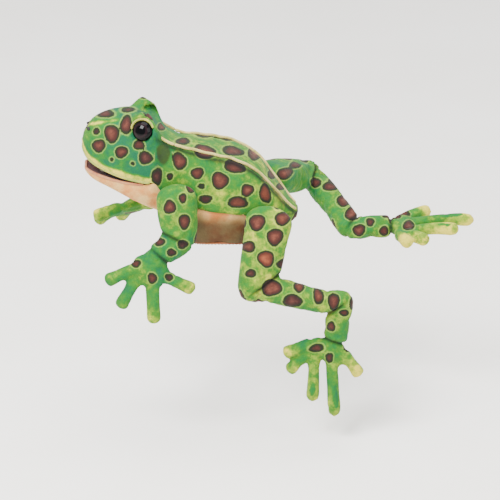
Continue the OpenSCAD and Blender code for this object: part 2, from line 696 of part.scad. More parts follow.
// Digits fan out from a pad's middle. Each row: place across the pad as a share of its half
// width, place along the pad as a share of its half length, pointing angle, length, radius
FINGERS = [[0.88, 0.48, 38, 31, 7.2], [0.42, 0.92, 1, 36, 7.4], [-0.5, 0.8, -31, 42, 7.2],
    [-0.96, -0.2, -93, 32, 7]];
TOES = [[0.9, -0.55, 68, 31, 6.6], [0.93, 0.4, 47, 31, 6.4], [0.48, 0.88, 2, 54, 7.2],
    [-0.2, 0.8, -2, 74, 7.4], [-0.82, 0.45, -32, 32, 7]];

// Draws digit number i of a pad with the given middle, forward and width axes and half sizes
module fan_digit(rows, i, middle, d, across, half_l, half) {
    row = rows[i - 1];
    normal = cross(d, across);
    root = middle + row[0] * half * across + row[1] * half_l * d;
    digit(root, unit(cos(row[2]) * d + sin(row[2]) * across), row[3], row[4], normal);
}

module finger_left(i) {
    d = arm_dirs_left[2];
    across = alike(unit(cross(d, hand_normal_left)), [-1, 0, 0]);
    color(LIME) fan_digit(FINGERS, i, wrist_left + palm_l * 0.55 * d, d, across, palm_l / 2, palm_w / 2);
}

module finger_right(i) {
    d = arm_dirs_right[2];
    across = alike(unit(cross(d, hand_normal_right)), [0, -1, 0]);
    color(LIME) fan_digit(FINGERS, i, wrist_right + palm_l * 0.55 * d, d, across, palm_l / 2, palm_w / 2);
}

module toe_left(i) {
    d = [0, 0, -1];
    across = alike(instep_axis_left, [-1, 0, 0]);
    color(LIME) fan_digit(TOES, i, instep_left + foot_l * 0.55 * leg_dirs_left[3], d, across,
        foot_l / 2, foot_w / 2);
}

module toe_right(i) {
    d = leg_dirs_right[3];
    across = alike(instep_axis_right, [0, -1, 0]);
    color(LIME) fan_digit(TOES, i, instep_right + foot_l * 0.55 * d, d, across, foot_l / 2, foot_w / 2);
}

module upper_arm_left() {
    color(GREEN) upper_arm(shoulder_left, elbow_left, shoulder_axis_left, elbow_axis_left);
}

module upper_arm_right() {
    color(GREEN) upper_arm(shoulder_right, elbow_right, shoulder_axis_right, elbow_axis_right);
}

module forearm_left() {
    color(GREEN) forearm(elbow_left, wrist_left, elbow_axis_left, wrist_axis_left, hand_normal_left);
}

module forearm_right() {
    color(GREEN) forearm(elbow_right, wrist_right, elbow_axis_right, wrist_axis_right, hand_normal_right);
}

module palm_left() {
    color(LEAF) pad(wrist_left, wrist_left + palm_l * arm_dirs_left[2], hand_normal_left,
        wrist_axis_left, palm_w / 2, arm_w * 0.3);
}

module palm_right() {
    color(LEAF) pad(wrist_right, wrist_right + palm_l * arm_dirs_right[2], hand_normal_right,
        wrist_axis_right, palm_w / 2, arm_w * 0.3);
}

// Thigh: a round top beside the body, full below it and narrowing to the knee seam
module thigh(hip, knee, top_axis, knee_axis) {
    d = unit(knee - hip);
    l = thigh_l;
    a = thigh_t / 2;
    b = thigh_w / 2;
    first = frame_at(top_axis, d);
    axis = alike(knee_axis, first[0]);
    segment(hip, knee, first, frame_at(axis, d), [
        [0, a * 0.4, b * 0.35], [l * 0.05, a * 0.72, b * 0.66], [l * 0.16, a * 0.95, b * 0.92],
        [l * 0.36, a, b], [l * 0.55, a * 0.95, b * 0.93], [l * 0.7, a * 0.84, swell(l * 0.3, b)],
        [l * 0.87, a * 0.74, swell(l * 0.13, b)], [l, a * 0.66, seam_half]], -b * 0.4);
}

module shank(knee, ankle, knee_axis, ankle_axis) {
    d = unit(ankle - knee);
    l = shank_l;
    r = shank_w / 2;
    first = frame_at(knee_axis, d);
    axis = alike(ankle_axis, first[0]);
    segment(knee, ankle, first, frame_at(axis, d), [
        [0, r * 0.72, seam_half], [l * 0.11, r * 0.82, swell(l * 0.11, r)], [l * 0.26, r * 0.93, r],
        [l * 0.5, r * 0.9, r * 0.97], [l * 0.74, r * 0.84, r * 0.88], [l * 0.89, r * 0.76,
            swell(l * 0.11, r)],
        [l, r * 0.66, seam_half]]);
}

// Tarsus: its first seam lies across the bend and its last one across the foot
module tarsus(ankle, instep, ankle_axis, instep_axis, normal) {
    d = unit(instep - ankle);
    l = tarsus_l;
    r = shank_w * 0.42;
    first = frame_at(ankle_axis, d);
    near = abs(normal * first[0]) > abs(normal * first[1]);
    last = near ? [alike(normal, first[0]), alike(instep_axis, first[1])]
                : [alike(instep_axis, first[0]), alike(normal, first[1])];
    thin = swell(l * 0.25, r);
    segment(ankle, instep, first, last, [
        [0, r * 0.78, seam_half], [l * 0.2, r * 0.84, swell(l * 0.2, r)], [l * 0.45, r * 0.88, r],
        [l * 0.75, near ? thin : r, near ? r : thin],
        [l, near ? seam_half : r, near ? r : seam_half]]);
}

module thigh_left() {
    color(LEAF) thigh(hip_left, knee_left, hip_axis_left, knee_axis_left);
}

module thigh_right() {
    color(LEAF) thigh(hip_right, knee_right, hip_axis_right, knee_axis_right);
}

module shank_left() {
    color(LEAF) shank(knee_left, ankle_left, knee_axis_left, ankle_axis_left);
}

module shank_right() {
    color(LEAF) shank(knee_right, ankle_right, knee_axis_right, ankle_axis_right);
}

module tarsus_left() {
    color(LEAF) tarsus(ankle_left, instep_left, ankle_axis_left, instep_axis_left, foot_normal_left);
}

module tarsus_right() {
    color(LEAF) tarsus(ankle_right, instep_right, ankle_axis_right, instep_axis_right, foot_normal_right);
}

module foot_left() {
    color(LEAF) pad(instep_left, instep_left + foot_l * leg_dirs_left[3], foot_normal_left,
        instep_axis_left, foot_w / 2, shank_w * 0.4);
}

module foot_right() {
    color(LEAF) pad(instep_right, instep_right + foot_l * leg_dirs_right[3], foot_normal_right,
        instep_axis_right, foot_w / 2, shank_w * 0.4);
}

back_panel();
side_panel_left();
side_panel_right();
belly_panel();
chest_panel();
ridge_welt_left();
ridge_welt_right();
glove_lining();
opening_binding();
head_shell();
head_stuffing();
finger_pocket();
palate_board();
palate_lining();
upper_lip_welt();
eye_mound_left();
eye_mound_right();
eye_left();
eye_right();
eyelid_rims();
eye_washers();
nostril_stitches();
jaw_shell();
jaw_stuffing();
thumb_pocket();
jaw_board();
jaw_lining();
lower_lip_welt();
upper_arm_left();
forearm_left();
palm_left();
finger_left(1);  // finger_1_left
finger_left(2);  // finger_2_left
finger_left(3);  // finger_3_left
finger_left(4);  // finger_4_left
upper_arm_right();
forearm_right();
palm_right();
finger_right(1);  // finger_1_right
finger_right(2);  // finger_2_right
finger_right(3);  // finger_3_right
finger_right(4);  // finger_4_right
thigh_left();
shank_left();
tarsus_left();
foot_left();
toe_left(1);  // toe_1_left
toe_left(2);  // toe_2_left
toe_left(3);  // toe_3_left
toe_left(4);  // toe_4_left
toe_left(5);  // toe_5_left
thigh_right();
shank_right();
tarsus_right();
foot_right();
toe_right(1);  // toe_1_right
toe_right(2);  // toe_2_right
toe_right(3);  // toe_3_right
toe_right(4);  // toe_4_right
toe_right(5);  // toe_5_right
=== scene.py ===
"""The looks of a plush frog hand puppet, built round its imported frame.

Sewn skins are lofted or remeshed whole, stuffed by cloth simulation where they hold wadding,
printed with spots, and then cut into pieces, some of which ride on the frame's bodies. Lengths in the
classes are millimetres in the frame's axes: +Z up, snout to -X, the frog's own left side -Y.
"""

import json
import logging
import math
from dataclasses import dataclass, field
from enum import Enum
from typing import Callable, Sequence

import bpy
import numpy as np
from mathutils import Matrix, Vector
from mathutils.kdtree import KDTree


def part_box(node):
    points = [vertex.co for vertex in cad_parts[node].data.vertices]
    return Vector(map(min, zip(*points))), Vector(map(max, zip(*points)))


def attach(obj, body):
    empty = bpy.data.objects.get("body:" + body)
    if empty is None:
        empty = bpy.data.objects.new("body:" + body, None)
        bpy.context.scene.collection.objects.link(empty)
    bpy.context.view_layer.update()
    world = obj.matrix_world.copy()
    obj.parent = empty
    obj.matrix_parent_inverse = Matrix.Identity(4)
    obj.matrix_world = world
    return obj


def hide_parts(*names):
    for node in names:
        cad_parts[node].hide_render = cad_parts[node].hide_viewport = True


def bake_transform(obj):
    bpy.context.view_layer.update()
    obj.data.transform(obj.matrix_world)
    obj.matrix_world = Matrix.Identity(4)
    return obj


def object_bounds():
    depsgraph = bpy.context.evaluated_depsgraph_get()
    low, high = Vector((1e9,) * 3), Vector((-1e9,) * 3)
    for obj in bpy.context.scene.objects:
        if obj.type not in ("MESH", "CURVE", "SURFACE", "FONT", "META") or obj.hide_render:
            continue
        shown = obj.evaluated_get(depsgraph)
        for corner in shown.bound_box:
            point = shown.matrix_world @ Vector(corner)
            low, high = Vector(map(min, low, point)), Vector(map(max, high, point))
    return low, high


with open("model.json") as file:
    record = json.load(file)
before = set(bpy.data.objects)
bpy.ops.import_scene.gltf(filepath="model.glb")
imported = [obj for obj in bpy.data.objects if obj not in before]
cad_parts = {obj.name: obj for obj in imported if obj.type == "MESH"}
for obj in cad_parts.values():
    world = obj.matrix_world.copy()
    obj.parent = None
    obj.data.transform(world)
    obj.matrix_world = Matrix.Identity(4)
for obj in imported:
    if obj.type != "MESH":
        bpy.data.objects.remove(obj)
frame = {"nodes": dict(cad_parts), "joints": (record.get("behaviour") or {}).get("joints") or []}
CAD_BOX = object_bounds()

Array = np.ndarray
Piece = bpy.types.Object
Material = bpy.types.Material
Socket = bpy.types.NodeSocket
Mesh = tuple[Array, list[list[int]]]

LOG = logging.getLogger("frog_puppet")
MM = 0.001
# The print of the near side is laid out as it is seen by a viewer who looks down at this angle.
ELEVATION = math.radians(22)
TO_CAMERA = np.array([0.0, -math.cos(ELEVATION), math.sin(ELEVATION)])
VIEW_UP = np.array([0.0, math.sin(ELEVATION), math.cos(ELEVATION)])
SEED = 11


class Side(Enum):
    """A side of the frog; its own left is towards -Y."""

    LEFT = "left"
    RIGHT = "right"

    @property
    def turn(self) -> int:
        """The sign of Y on this side."""
        return -1 if self is Side.LEFT else 1


# ---- small vector helpers ----


def unit(v: Sequence[float]) -> Array:
    """Returns v at length one."""
    v = np.asarray(v, float)
    return v / np.linalg.norm(v)


def square_to(v: Sequence[float], d: Sequence[float]) -> Array:
    """Returns the direction of v with its share along the unit vector d taken out."""
    v, d = np.asarray(v, float), np.asarray(d, float)
    return unit(v - (v @ d) * d)


def smooth(low: float, high: float, x: Array) -> Array:
    """Returns 0 below low, 1 above high and a smooth rise between."""
    t = np.clip((np.asarray(x, float) - low) / (high - low), 0, 1)
    return t * t * (3 - 2 * t)


def curve(points: Sequence[tuple[float, float]]) -> Callable[[Array], Array]:
    """A smooth curve through points that doesn't overshoot them.

    Args:
        points: (x, y) pairs with x rising.

    Returns:
        A function of x, level beyond both ends.
    """
    px, py = (np.array(c, float) for c in zip(*points))
    h, slope = np.diff(px), np.diff(py) / np.diff(px)
    m = np.zeros(len(px))
    same = slope[:-1] * slope[1:] > 0
    w1, w2 = 2 * h[1:] + h[:-1], h[1:] + 2 * h[:-1]
    safe = np.where(same, slope[:-1], 1), np.where(same, slope[1:], 1)
    m[1:-1] = np.where(same, (w1 + w2) / (w1 / safe[0] + w2 / safe[1]), 0)
    m[0], m[-1] = slope[0], slope[-1]

    def at(x: Array) -> Array:
        """Returns the curve's value at x."""
        x = np.clip(np.asarray(x, float), px[0], px[-1])
        i = np.clip(np.searchsorted(px, x, side="right") - 1, 0, len(px) - 2)
        t = (x - px[i]) / h[i]
        return (py[i] * (1 + 2 * t) * (1 - t) ** 2 + h[i] * m[i] * t * (1 - t) ** 2
                + py[i + 1] * t * t * (3 - 2 * t) + h[i] * m[i + 1] * t * t * (t - 1))

    return at


def beside(p: Array, start: Array, end: Array) -> tuple[Array, Array]:
    """Returns how far along a line from start to end each point lies, as a share, and how far off it."""
    line = end - start
    t = (p - start) @ line / (line @ line)
    return t, np.linalg.norm(p - start - np.clip(t, 0, 1)[:, None] * line, axis=1)


def joint(name: str) -> dict:
    """Returns a joint of the frame by name."""
    return next(j for j in frame["joints"] if j["name"] == name)


def joint_at(name: str) -> Array:
    """Returns a joint's place in millimetres."""
    return np.array(joint(name)["pos_m"], float) / MM


def joint_axis(name: str) -> Array:
    """Returns a joint's axis."""
    return unit(joint(name)["axis"])


def corners(node: str) -> tuple[Array, Array]:
    """Returns a node's lowest and highest corner in millimetres."""
    low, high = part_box(node)
    return np.array(low) / MM, np.array(high) / MM


def node_points(node: str) -> Array:
    """Returns a node's points in millimetres."""
    return np.array([v.co for v in frame["nodes"][node].data.vertices], float) / MM


# ---- meshes ----


def only(obj: Piece) -> None:
    """Selects obj alone and makes it active."""
    bpy.ops.object.select_all(action="DESELECT")
    obj.select_set(True)
    bpy.context.view_layer.objects.active = obj


def new_object(name: str, points: Array, faces: Sequence[Sequence[int]]) -> Piece:
    """A smooth-shaded object from points in millimetres.

    Args:
        name: The object's name.
        points: One row per point.
        faces: Point numbers of each face, in order round its outside.

    Returns:
        The object, at the origin, linked to the scene.
    """
    mesh = bpy.data.meshes.new(name)
    mesh.from_pydata((np.asarray(points) * MM).tolist(), [], [list(map(int, f)) for f in faces])
    mesh.update()
    obj = bpy.data.objects.new(name, mesh)
    smooth_shade(obj)
    bpy.context.scene.collection.objects.link(obj)
    return obj


def smooth_shade(obj: Piece) -> None:
    """Shades every face of the object smoothly."""
    obj.data.polygons.foreach_set("use_smooth", [True] * len(obj.data.polygons))


def points_of(obj: Piece) -> Array:
    """Returns the object's points in millimetres."""
    co = np.zeros(len(obj.data.vertices) * 3)
    obj.data.vertices.foreach_get("co", co)
    return co.reshape(-1, 3) / MM


def normals_of(obj: Piece) -> Array:
    """Returns the object's point normals."""
    out = np.zeros(len(obj.data.vertices) * 3)
    obj.data.vertex_normals.foreach_get("vector", out)
    return out.reshape(-1, 3)


def set_points(obj: Piece, points: Array) -> None:
    """Moves the object's points to places in millimetres."""
    obj.data.vertices.foreach_set("co", (np.asarray(points) * MM).ravel())
    obj.data.update()


def faces_of(obj: Piece) -> list[list[int]]:
    """Returns the point numbers of each face."""
    return [list(p.vertices) for p in obj.data.polygons]


def apply_modifier(obj: Piece, kind: str, **settings: object) -> None:
    """Adds a modifier with the given settings and applies it."""
    only(obj)
    modifier = obj.modifiers.new(kind.title(), kind)
    for key, value in settings.items():
        setattr(modifier, key, value)
    bpy.ops.object.modifier_apply(modifier=modifier.name)


def outward(obj: Piece) -> None:
    """Merges doubled points and turns every face outwards."""
    only(obj)
    bpy.ops.object.mode_set(mode="EDIT")
    bpy.ops.mesh.select_all(action="SELECT")
    bpy.ops.mesh.remove_doubles(threshold=1e-6)
    bpy.ops.mesh.normals_make_consistent(inside=False)
    bpy.ops.object.mode_set(mode="OBJECT")


def ring_faces(rows: int, n: int, closed: bool = True) -> list[list[int]]:
    """Quads between rows of n points, which close round where closed is true."""
    last = n if closed else n - 1
    return [[i * n + j, i * n + (j + 1) % n, (i + 1) * n + (j + 1) % n, (i + 1) * n + j]
            for i in range(rows - 1) for j in range(last)]


def loft(rings: Array) -> Mesh:
    """Points and faces of a closed solid through rings, each a row of points."""
    rows, n = rings.shape[:2]
    points = np.vstack([rings.reshape(-1, 3), rings[0].mean(0), rings[-1].mean(0)])
    faces = ring_faces(rows, n)
    first, last = rows * n, rows * n + 1
    faces += [[first, (j + 1) % n, j] for j in range(n)]
    faces += [[last, (rows - 1) * n + j, (rows - 1) * n + (j + 1) % n] for j in range(n)]
    return points, faces


def tube(path: Array, radius: float | Array, sides: int = 10,
         up: Sequence[float] = (0.13, 0.2, 1.0)) -> Mesh:
    """Points and faces of a round closed tube along a path, with rounded-off ends."""
    path = np.asarray(path, float)
    d = np.gradient(path, axis=0)
    d /= np.linalg.norm(d, axis=1)[:, None]
    angles = np.linspace(0, 2 * math.pi, sides, endpoint=False)
    radii = np.broadcast_to(radius, len(path)).astype(float).copy()
    radii[[0, -1]] *= 0.55
    rings = []
    for p, t, r in zip(path, d, radii):
        a = square_to(up, t)
        b = np.cross(t, a)
        rings.append(p + r * (np.cos(angles)[:, None] * a + np.sin(angles)[:, None] * b))
    return loft(np.array(rings))


def resample(path: Array, step: float) -> Array:
    """Returns points evenly spaced along a path, about step apart."""
    s = np.concatenate([[0], np.cumsum(np.linalg.norm(np.diff(path, axis=0), axis=1))])
    at = np.linspace(0, s[-1], max(2, int(s[-1] / step)))
    return np.stack([np.interp(at, s, path[:, k]) for k in range(3)], 1)


def join(parts: Sequence[Mesh]) -> Mesh:
    """Joins several point and face lists into one."""
    points, faces, base = [], [], 0
    for p, f in parts:
        points.append(p)
        faces += [[i + base for i in face] for face in f]
        base += len(p)
    return np.vstack(points), faces


# ---- dyes and finishes ----


def linear(r: int, g: int, b: int) -> tuple[float, float, float, float]:
    """Returns an 8-bit screen colour as the linear colour that a shader takes."""
    def one(c: int) -> float:
        """Returns one channel, made linear."""
        c = c / 255
        return c / 12.92 if c <= 0.04045 else ((c + 0.055) / 1.055) ** 2.4
    return one(r), one(g), one(b), 1.0


def cloth_dye(r: int, g: int, b: int) -> tuple[float, float, float, float]:
    """Returns the deeper colour that a cloth needs to look like an 8-bit colour under bright lamps."""
    return *(0.66 * c ** 1.28 for c in linear(r, g, b)[:3]), 1.0


class Graph:
    """A node tree being wired, for a material or a shared group."""

    def __init__(self, tree: bpy.types.NodeTree) -> None:
        """Keeps the tree."""
        self.tree = tree

    def node(self, kind: str, inputs: dict | None = None, **settings: object) -> bpy.types.Node:
        """Adds a node.

        Args:
            kind: The node's type name.
            inputs: Socket name or number to a value or to another node's output socket.
            settings: Attributes set on the node first.

        Returns:
            The node.
        """
        node = self.tree.nodes.new(kind)
        for key, value in settings.items():
            setattr(node, key, value)
        for key, value in (inputs or {}).items():
            if isinstance(value, Socket):
                self.tree.links.new(value, node.inputs[key])
            else:
                node.inputs[key].default_value = value
        return node

    def math(self, operation: str, a: object, b: object = 0.0) -> Socket:
        """Returns the output of a Math node."""
        return self.node("ShaderNodeMath", {0: a, 1: b}, operation=operation).outputs[0]

    def rise(self, value: object, low: float, high: float, a: float = 0.0,
             b: float = 1.0) -> Socket:
        """Returns value mapped smoothly from low..high to a..b."""
        ends = {"Value": value, "From Min": low, "From Max": high, "To Min": a, "To Max": b}
        return self.node("ShaderNodeMapRange", ends, interpolation_type="SMOOTHSTEP").outputs[0]

    def mix(self, factor: object, a: object, b: object) -> Socket:
        """Returns a mix of two colours."""
        node = self.node("ShaderNodeMix", {0: factor, 6: a, 7: b}, data_type="RGBA")
        return node.outputs[2]

    def noise(self, place: object, scale: float, detail: float = 3.0, rough: float = 0.55) -> Socket:
        """Returns a noise value at a place."""
        return self.node("ShaderNodeTexNoise", {"Vector": place, "Scale": scale, "Detail": detail,
                                                "Roughness": rough}).outputs[0]

    def attribute(self, name: str, output: str = "Fac") -> Socket:
        """Returns a mesh attribute."""
        node = self.node("ShaderNodeAttribute", attribute_name=name, attribute_type="GEOMETRY")
        return node.outputs[output]

    def own_place(self) -> Socket:
        """Returns the place in the object's own space."""
        return self.node("ShaderNodeTexCoord").outputs["Object"]

    def bump(self, shader: bpy.types.Node, height: object, distance: float, strength: float) -> None:
        """Gives a shader's surface small heights."""
        bump = self.node("ShaderNodeBump", {"Height": height, "Distance": distance, "Strength": strength})
        self.tree.links.new(bump.outputs[0], shader.inputs["Normal"])


def group(name: str, inputs: Sequence[tuple[str, str, object]], outputs: Sequence[tuple[str, str]],
          wire: Callable[[Graph, dict], dict]) -> bpy.types.NodeTree:
    """A shader node group, built once.

    Args:
        name: The group's name.
        inputs: (name, socket type, default) of each input; the default may be None.
        outputs: (name, socket type) of each output.
        wire: Takes the group's graph and its input sockets, and returns its output sockets by name.

    Returns:
        The group's node tree.
    """
    found = bpy.data.node_groups.get(name)
    if found:
        return found
    tree = bpy.data.node_groups.new(name, "ShaderNodeTree")
    for label, kind, default in inputs:
        socket = tree.interface.new_socket(label, in_out="INPUT", socket_type=kind)
        if default is not None:
            socket.default_value = default
    for label, kind in outputs:
        tree.interface.new_socket(label, in_out="OUTPUT", socket_type=kind)
    start, end = tree.nodes.new("NodeGroupInput"), tree.nodes.new("NodeGroupOutput")
    made = wire(Graph(tree), {s.name: s for s in start.outputs if s.name})
    for label, socket in made.items():
        tree.links.new(socket, end.inputs[label])
    return tree


FLOAT, COLOUR, PLACE = "NodeSocketFloat", "NodeSocketColor", "NodeSocketVector"


def pile_group() -> bpy.types.NodeTree:
    """Short pile: a height for the bump and a brightness that varies from tuft to tuft, darker on the low
    tufts as a painted shade.
    """
    def wire(g: Graph, i: dict) -> dict:
        """Wires the group and returns its outputs."""
        fibre = g.node("ShaderNodeTexNoise", {"Vector": i["Place"], "Scale": i["Scale"], "Detail": 4.0,
                                              "Roughness": 0.7, "Distortion": 0.6}).outputs[0]
        brushed = g.noise(i["Place"], 60.0, 3.0)
        height = g.math("ADD", fibre, g.math("MULTIPLY", brushed, 0.8))
        # tuft brightness: partly random tone, partly painted shade on the low tufts
        shade = g.math("ADD", g.rise(fibre, 0.3, 0.7, 0.86, 1.1), g.rise(brushed, 0.3, 0.7, -0.07, 0.07))
        return {"Height": height, "Shade": shade}
    return group("short_pile", [("Place", PLACE, None), ("Scale", FLOAT, 650.0)],
                 [("Height", FLOAT), ("Shade", FLOAT)], wire)


def print_group() -> bpy.types.NodeTree:
    """The printed spots: dark-edged brown blotches with a pale halo over mottled green."""
    def wire(g: Graph, i: dict) -> dict:
        """Wires the group and returns its outputs."""
        place, dye = i["Place"], i["Dye"]
        broad, fine = g.noise(place, 26.0, 4.0, 0.6), g.noise(place, 120.0, 4.0, 0.65)
        level = g.math("ADD", dye, g.math("ADD", g.rise(broad, 0.3, 0.7, -0.24, 0.24),
                                          g.rise(fine, 0.3, 0.7, -0.16, 0.16)))
        ramp = g.node("ShaderNodeValToRGB", {"Fac": level})
        stops = ramp.color_ramp.elements
        stops[0].position, stops[0].color = 0.0, cloth_dye(14, 122, 84)
        stops[1].position, stops[1].color = 1.0, cloth_dye(232, 220, 96)
        for at, shade in ((0.25, cloth_dye(42, 140, 62)), (0.5, cloth_dye(88, 148, 44)),
                          (0.75, cloth_dye(158, 182, 54))):
            stops.new(at).color = shade
        wobble = g.math("MULTIPLY", g.math("SUBTRACT", g.noise(place, 210.0, 3.0, 0.7), 0.5), 2.6)
        edge = g.math("ADD", i["Edge"], wobble)
        halo = g.mix(g.rise(edge, 1.0, 2.8, 0.62, 0.0), ramp.outputs[0], cloth_dye(176, 204, 96))
        rim = g.mix(g.rise(edge, 0.3, 1.5, 1.0, 0.0), halo, cloth_dye(46, 56, 28))
        centre = g.rise(edge, -7.5, -2.0, 1.0, 0.0)
        warm = g.mix(i["Tone"], cloth_dye(66, 38, 38), cloth_dye(112, 60, 44))
        glow = g.mix(i["Tone"], cloth_dye(120, 78, 72), cloth_dye(172, 102, 70))
        grain = g.mix(g.math("MULTIPLY", centre, g.rise(fine, 0.3, 0.7, 0.4, 1.0)), warm, glow)
        spot = g.mix(g.rise(edge, -2.2, -0.8, 1.0, 0.0), rim, grain)
        drum = g.mix(g.rise(edge, -2.5, 1.0, 0.85, 0.0), ramp.outputs[0], cloth_dye(66, 74, 26))
        return {"Colour": g.mix(g.math("GREATER_THAN", i["Tone"], 1.5), spot, drum)}
    return group("spot_print", [("Place", PLACE, None), ("Dye", FLOAT, 0.5), ("Edge", FLOAT, 20.0),
                                ("Tone", FLOAT, 0.4)], [("Colour", COLOUR)], wire)


def weave_group() -> bpy.types.NodeTree:
    """Plain woven threads: a height and a slight painted shade, darker where the threads lie low."""
    def wire(g: Graph, i: dict) -> dict:
        """Wires the group and returns its outputs."""
        x, y, z = g.node("ShaderNodeSeparateXYZ", {0: i["Place"]}).outputs
        warp = g.math("SINE", g.math("MULTIPLY", g.math("ADD", x, z), i["Scale"]))
        weft = g.math("SINE", g.math("MULTIPLY", g.math("SUBTRACT", y, z), i["Scale"]))
        height = g.math("MULTIPLY", warp, weft)
        # painted shade: the threads' low points are darker
        return {"Height": height, "Shade": g.rise(height, -1.0, 1.0, 0.85, 1.08)}
    return group("plain_weave", [("Place", PLACE, None), ("Scale", FLOAT, 6000.0)],
                 [("Height", FLOAT), ("Shade", FLOAT)], wire)


def new_material(name: str, roughness: float) -> tuple[Material, Graph, bpy.types.Node]:
    """Returns a material, its graph and its Principled shader, set to a roughness."""
    material = bpy.data.materials.new(name)
    material.use_nodes = True
    shader = material.node_tree.nodes["Principled BSDF"]
    shader.inputs["Roughness"].default_value = roughness
    return material, Graph(material.node_tree), shader


def tinted(g: Graph, colour: object, shade: object) -> Socket:
    """Returns a colour times a brightness."""
    node = g.node("ShaderNodeVectorMath", {0: colour, 3: shade}, operation="SCALE")
    return node.outputs[0]


@dataclass(frozen=True)
class FrogPlush:
    """Printed short-pile plush, green above and peach below.

    Attributes:
        name: The material's name.
        pile: How fine the tufts are.
        depth: Height of the tufts in metres.
    """

    name: str = "frog_plush"
    pile: float = 650.0
    depth: float = 0.0006

    def build(self) -> Material:
        """Returns the material."""
        material, g, shader = new_material(self.name, 0.86)
        place = g.attribute("rest_place", "Vector")
        spots = g.node("ShaderNodeGroup", node_tree=print_group())
        for label, source in (("Dye", g.attribute("dye")), ("Edge", g.attribute("spot_edge")),
                              ("Tone", g.attribute("spot_tone")), ("Place", place)):
            g.tree.links.new(source, spots.inputs[label])
        broad = g.noise(place, 45.0, 3.0)
        peach = g.mix(g.rise(broad, 0.3, 0.7), cloth_dye(232, 156, 84), cloth_dye(252, 216, 150))
        mask = g.math("ADD", g.attribute("belly"), g.rise(g.noise(place, 90.0), 0.3, 0.7, -0.05, 0.05))
        cloth = g.mix(g.rise(mask, 0.4, 0.6), spots.outputs[0], peach)
        pile = g.node("ShaderNodeGroup", node_tree=pile_group())
        g.tree.links.new(place, pile.inputs["Place"])
        pile.inputs["Scale"].default_value = self.pile
        # painted shade: the skin's shade attribute times the pile's tuft brightness
        shaded = g.math("MULTIPLY", pile.outputs["Shade"], g.attribute("shade"))
        g.tree.links.new(tinted(g, cloth, shaded), shader.inputs["Base Color"])
        g.bump(shader, pile.outputs["Height"], self.depth, 0.55)
        shader.inputs["Sheen Weight"].default_value = 0.05
        shader.inputs["Sheen Roughness"].default_value = 0.5
        shader.inputs["Sheen Tint"].default_value = (0.9, 1.0, 0.8, 1.0)
        shader.inputs["Specular IOR Level"].default_value = 0.25
        return material


@dataclass(frozen=True)
class Cloth:
    """A dyed cloth with a woven or brushed surface and a patchy second shade.

    Attributes:
        name: The material's name.
        colour: Its main colour.
        patch: Its second shade.
        woven: True for threads, False for pile.
        scale: How fine the threads or tufts are.
        depth: Their height in metres.
        sheen: How strongly it shines at a low angle.
        roughness: How dull it is.
    """

    name: str
    colour: tuple[float, float, float, float]
    patch: tuple[float, float, float, float]
    woven: bool = True
    scale: float = 5200.0
    depth: float = 0.0004
    sheen: float = 0.1
    roughness: float = 0.8

    def build(self) -> Material:
        """Returns the material."""
        material, g, shader = new_material(self.name, self.roughness)
        place = g.own_place()
        tree = weave_group() if self.woven else pile_group()
        surface = g.node("ShaderNodeGroup", node_tree=tree)
        g.tree.links.new(place, surface.inputs["Place"])
        surface.inputs["Scale"].default_value = self.scale
        colour = g.mix(g.rise(g.noise(place, 70.0, 4.0), 0.35, 0.68), self.colour, self.patch)
        # the surface group's Shade is a painted shade in the low threads of a weave and the low tufts of a
        # pile
        g.tree.links.new(tinted(g, colour, surface.outputs["Shade"]), shader.inputs["Base Color"])
        g.bump(shader, surface.outputs["Height"], self.depth, 0.6)
        shader.inputs["Sheen Weight"].default_value = self.sheen
        return material


@dataclass(frozen=True)
class Grained:
    """Pressed board or moulded plastic with a faint grain.

    Attributes:
        name: The material's name.
        dark: 8-bit colour in the grain's lows.
        light: 8-bit colour on its highs.
        roughness: How dull it is.
        scale: How fine the grain is.
        detail: How many finer layers it has.
        rough: How strong those are.
        depth: Its height in metres.
        strength: How much of that height shows.
    """

    name: str
    dark: tuple[int, int, int]
    light: tuple[int, int, int]
    roughness: float
    scale: float
    detail: float
    rough: float
    depth: float
    strength: float

    def build(self) -> Material:
        """Returns the material."""
        material, g, shader = new_material(self.name, self.roughness)
        grain = g.noise(g.own_place(), self.scale, self.detail, self.rough)
        colour = g.mix(g.rise(grain, 0.3, 0.7), linear(*self.dark), linear(*self.light))
        g.tree.links.new(colour, shader.inputs["Base Color"])
        g.bump(shader, grain, self.depth, self.strength)
        return material


@dataclass(frozen=True)
class GlassyEye:
    """Polished black plastic with a dark brown ring round the pupil, read from its own attribute."""

    name: str = "eye_plastic"

    def build(self) -> Material:
        """Returns the material."""
        material, g, shader = new_material(self.name, 0.06)
        out = g.attribute("eye_radius")
        place = g.own_place()
        fleck = g.math("SUBTRACT", g.noise(place, 900.0, 2.0), 0.5)
        streak = g.math("ADD", out, g.math("MULTIPLY", fleck, 0.12))
        ring = g.math("MULTIPLY", g.rise(streak, 0.46, 0.54), g.rise(streak, 0.66, 0.76, 1.0, 0.0))
        colour = g.mix(ring, linear(2, 2, 3), linear(26, 15, 18))
        g.tree.links.new(colour, shader.inputs["Base Color"])
        scuff = g.rise(g.noise(place, 240.0, 4.0), 0.45, 0.8, 0.05, 0.14)
        g.tree.links.new(scuff, shader.inputs["Roughness"])
        shader.inputs["IOR"].default_value = 1.25
        shader.inputs["Specular IOR Level"].default_value = 0.3
        shader.inputs["Coat Weight"].default_value = 0.04
        shader.inputs["Coat Roughness"].default_value = 0.03
        return material


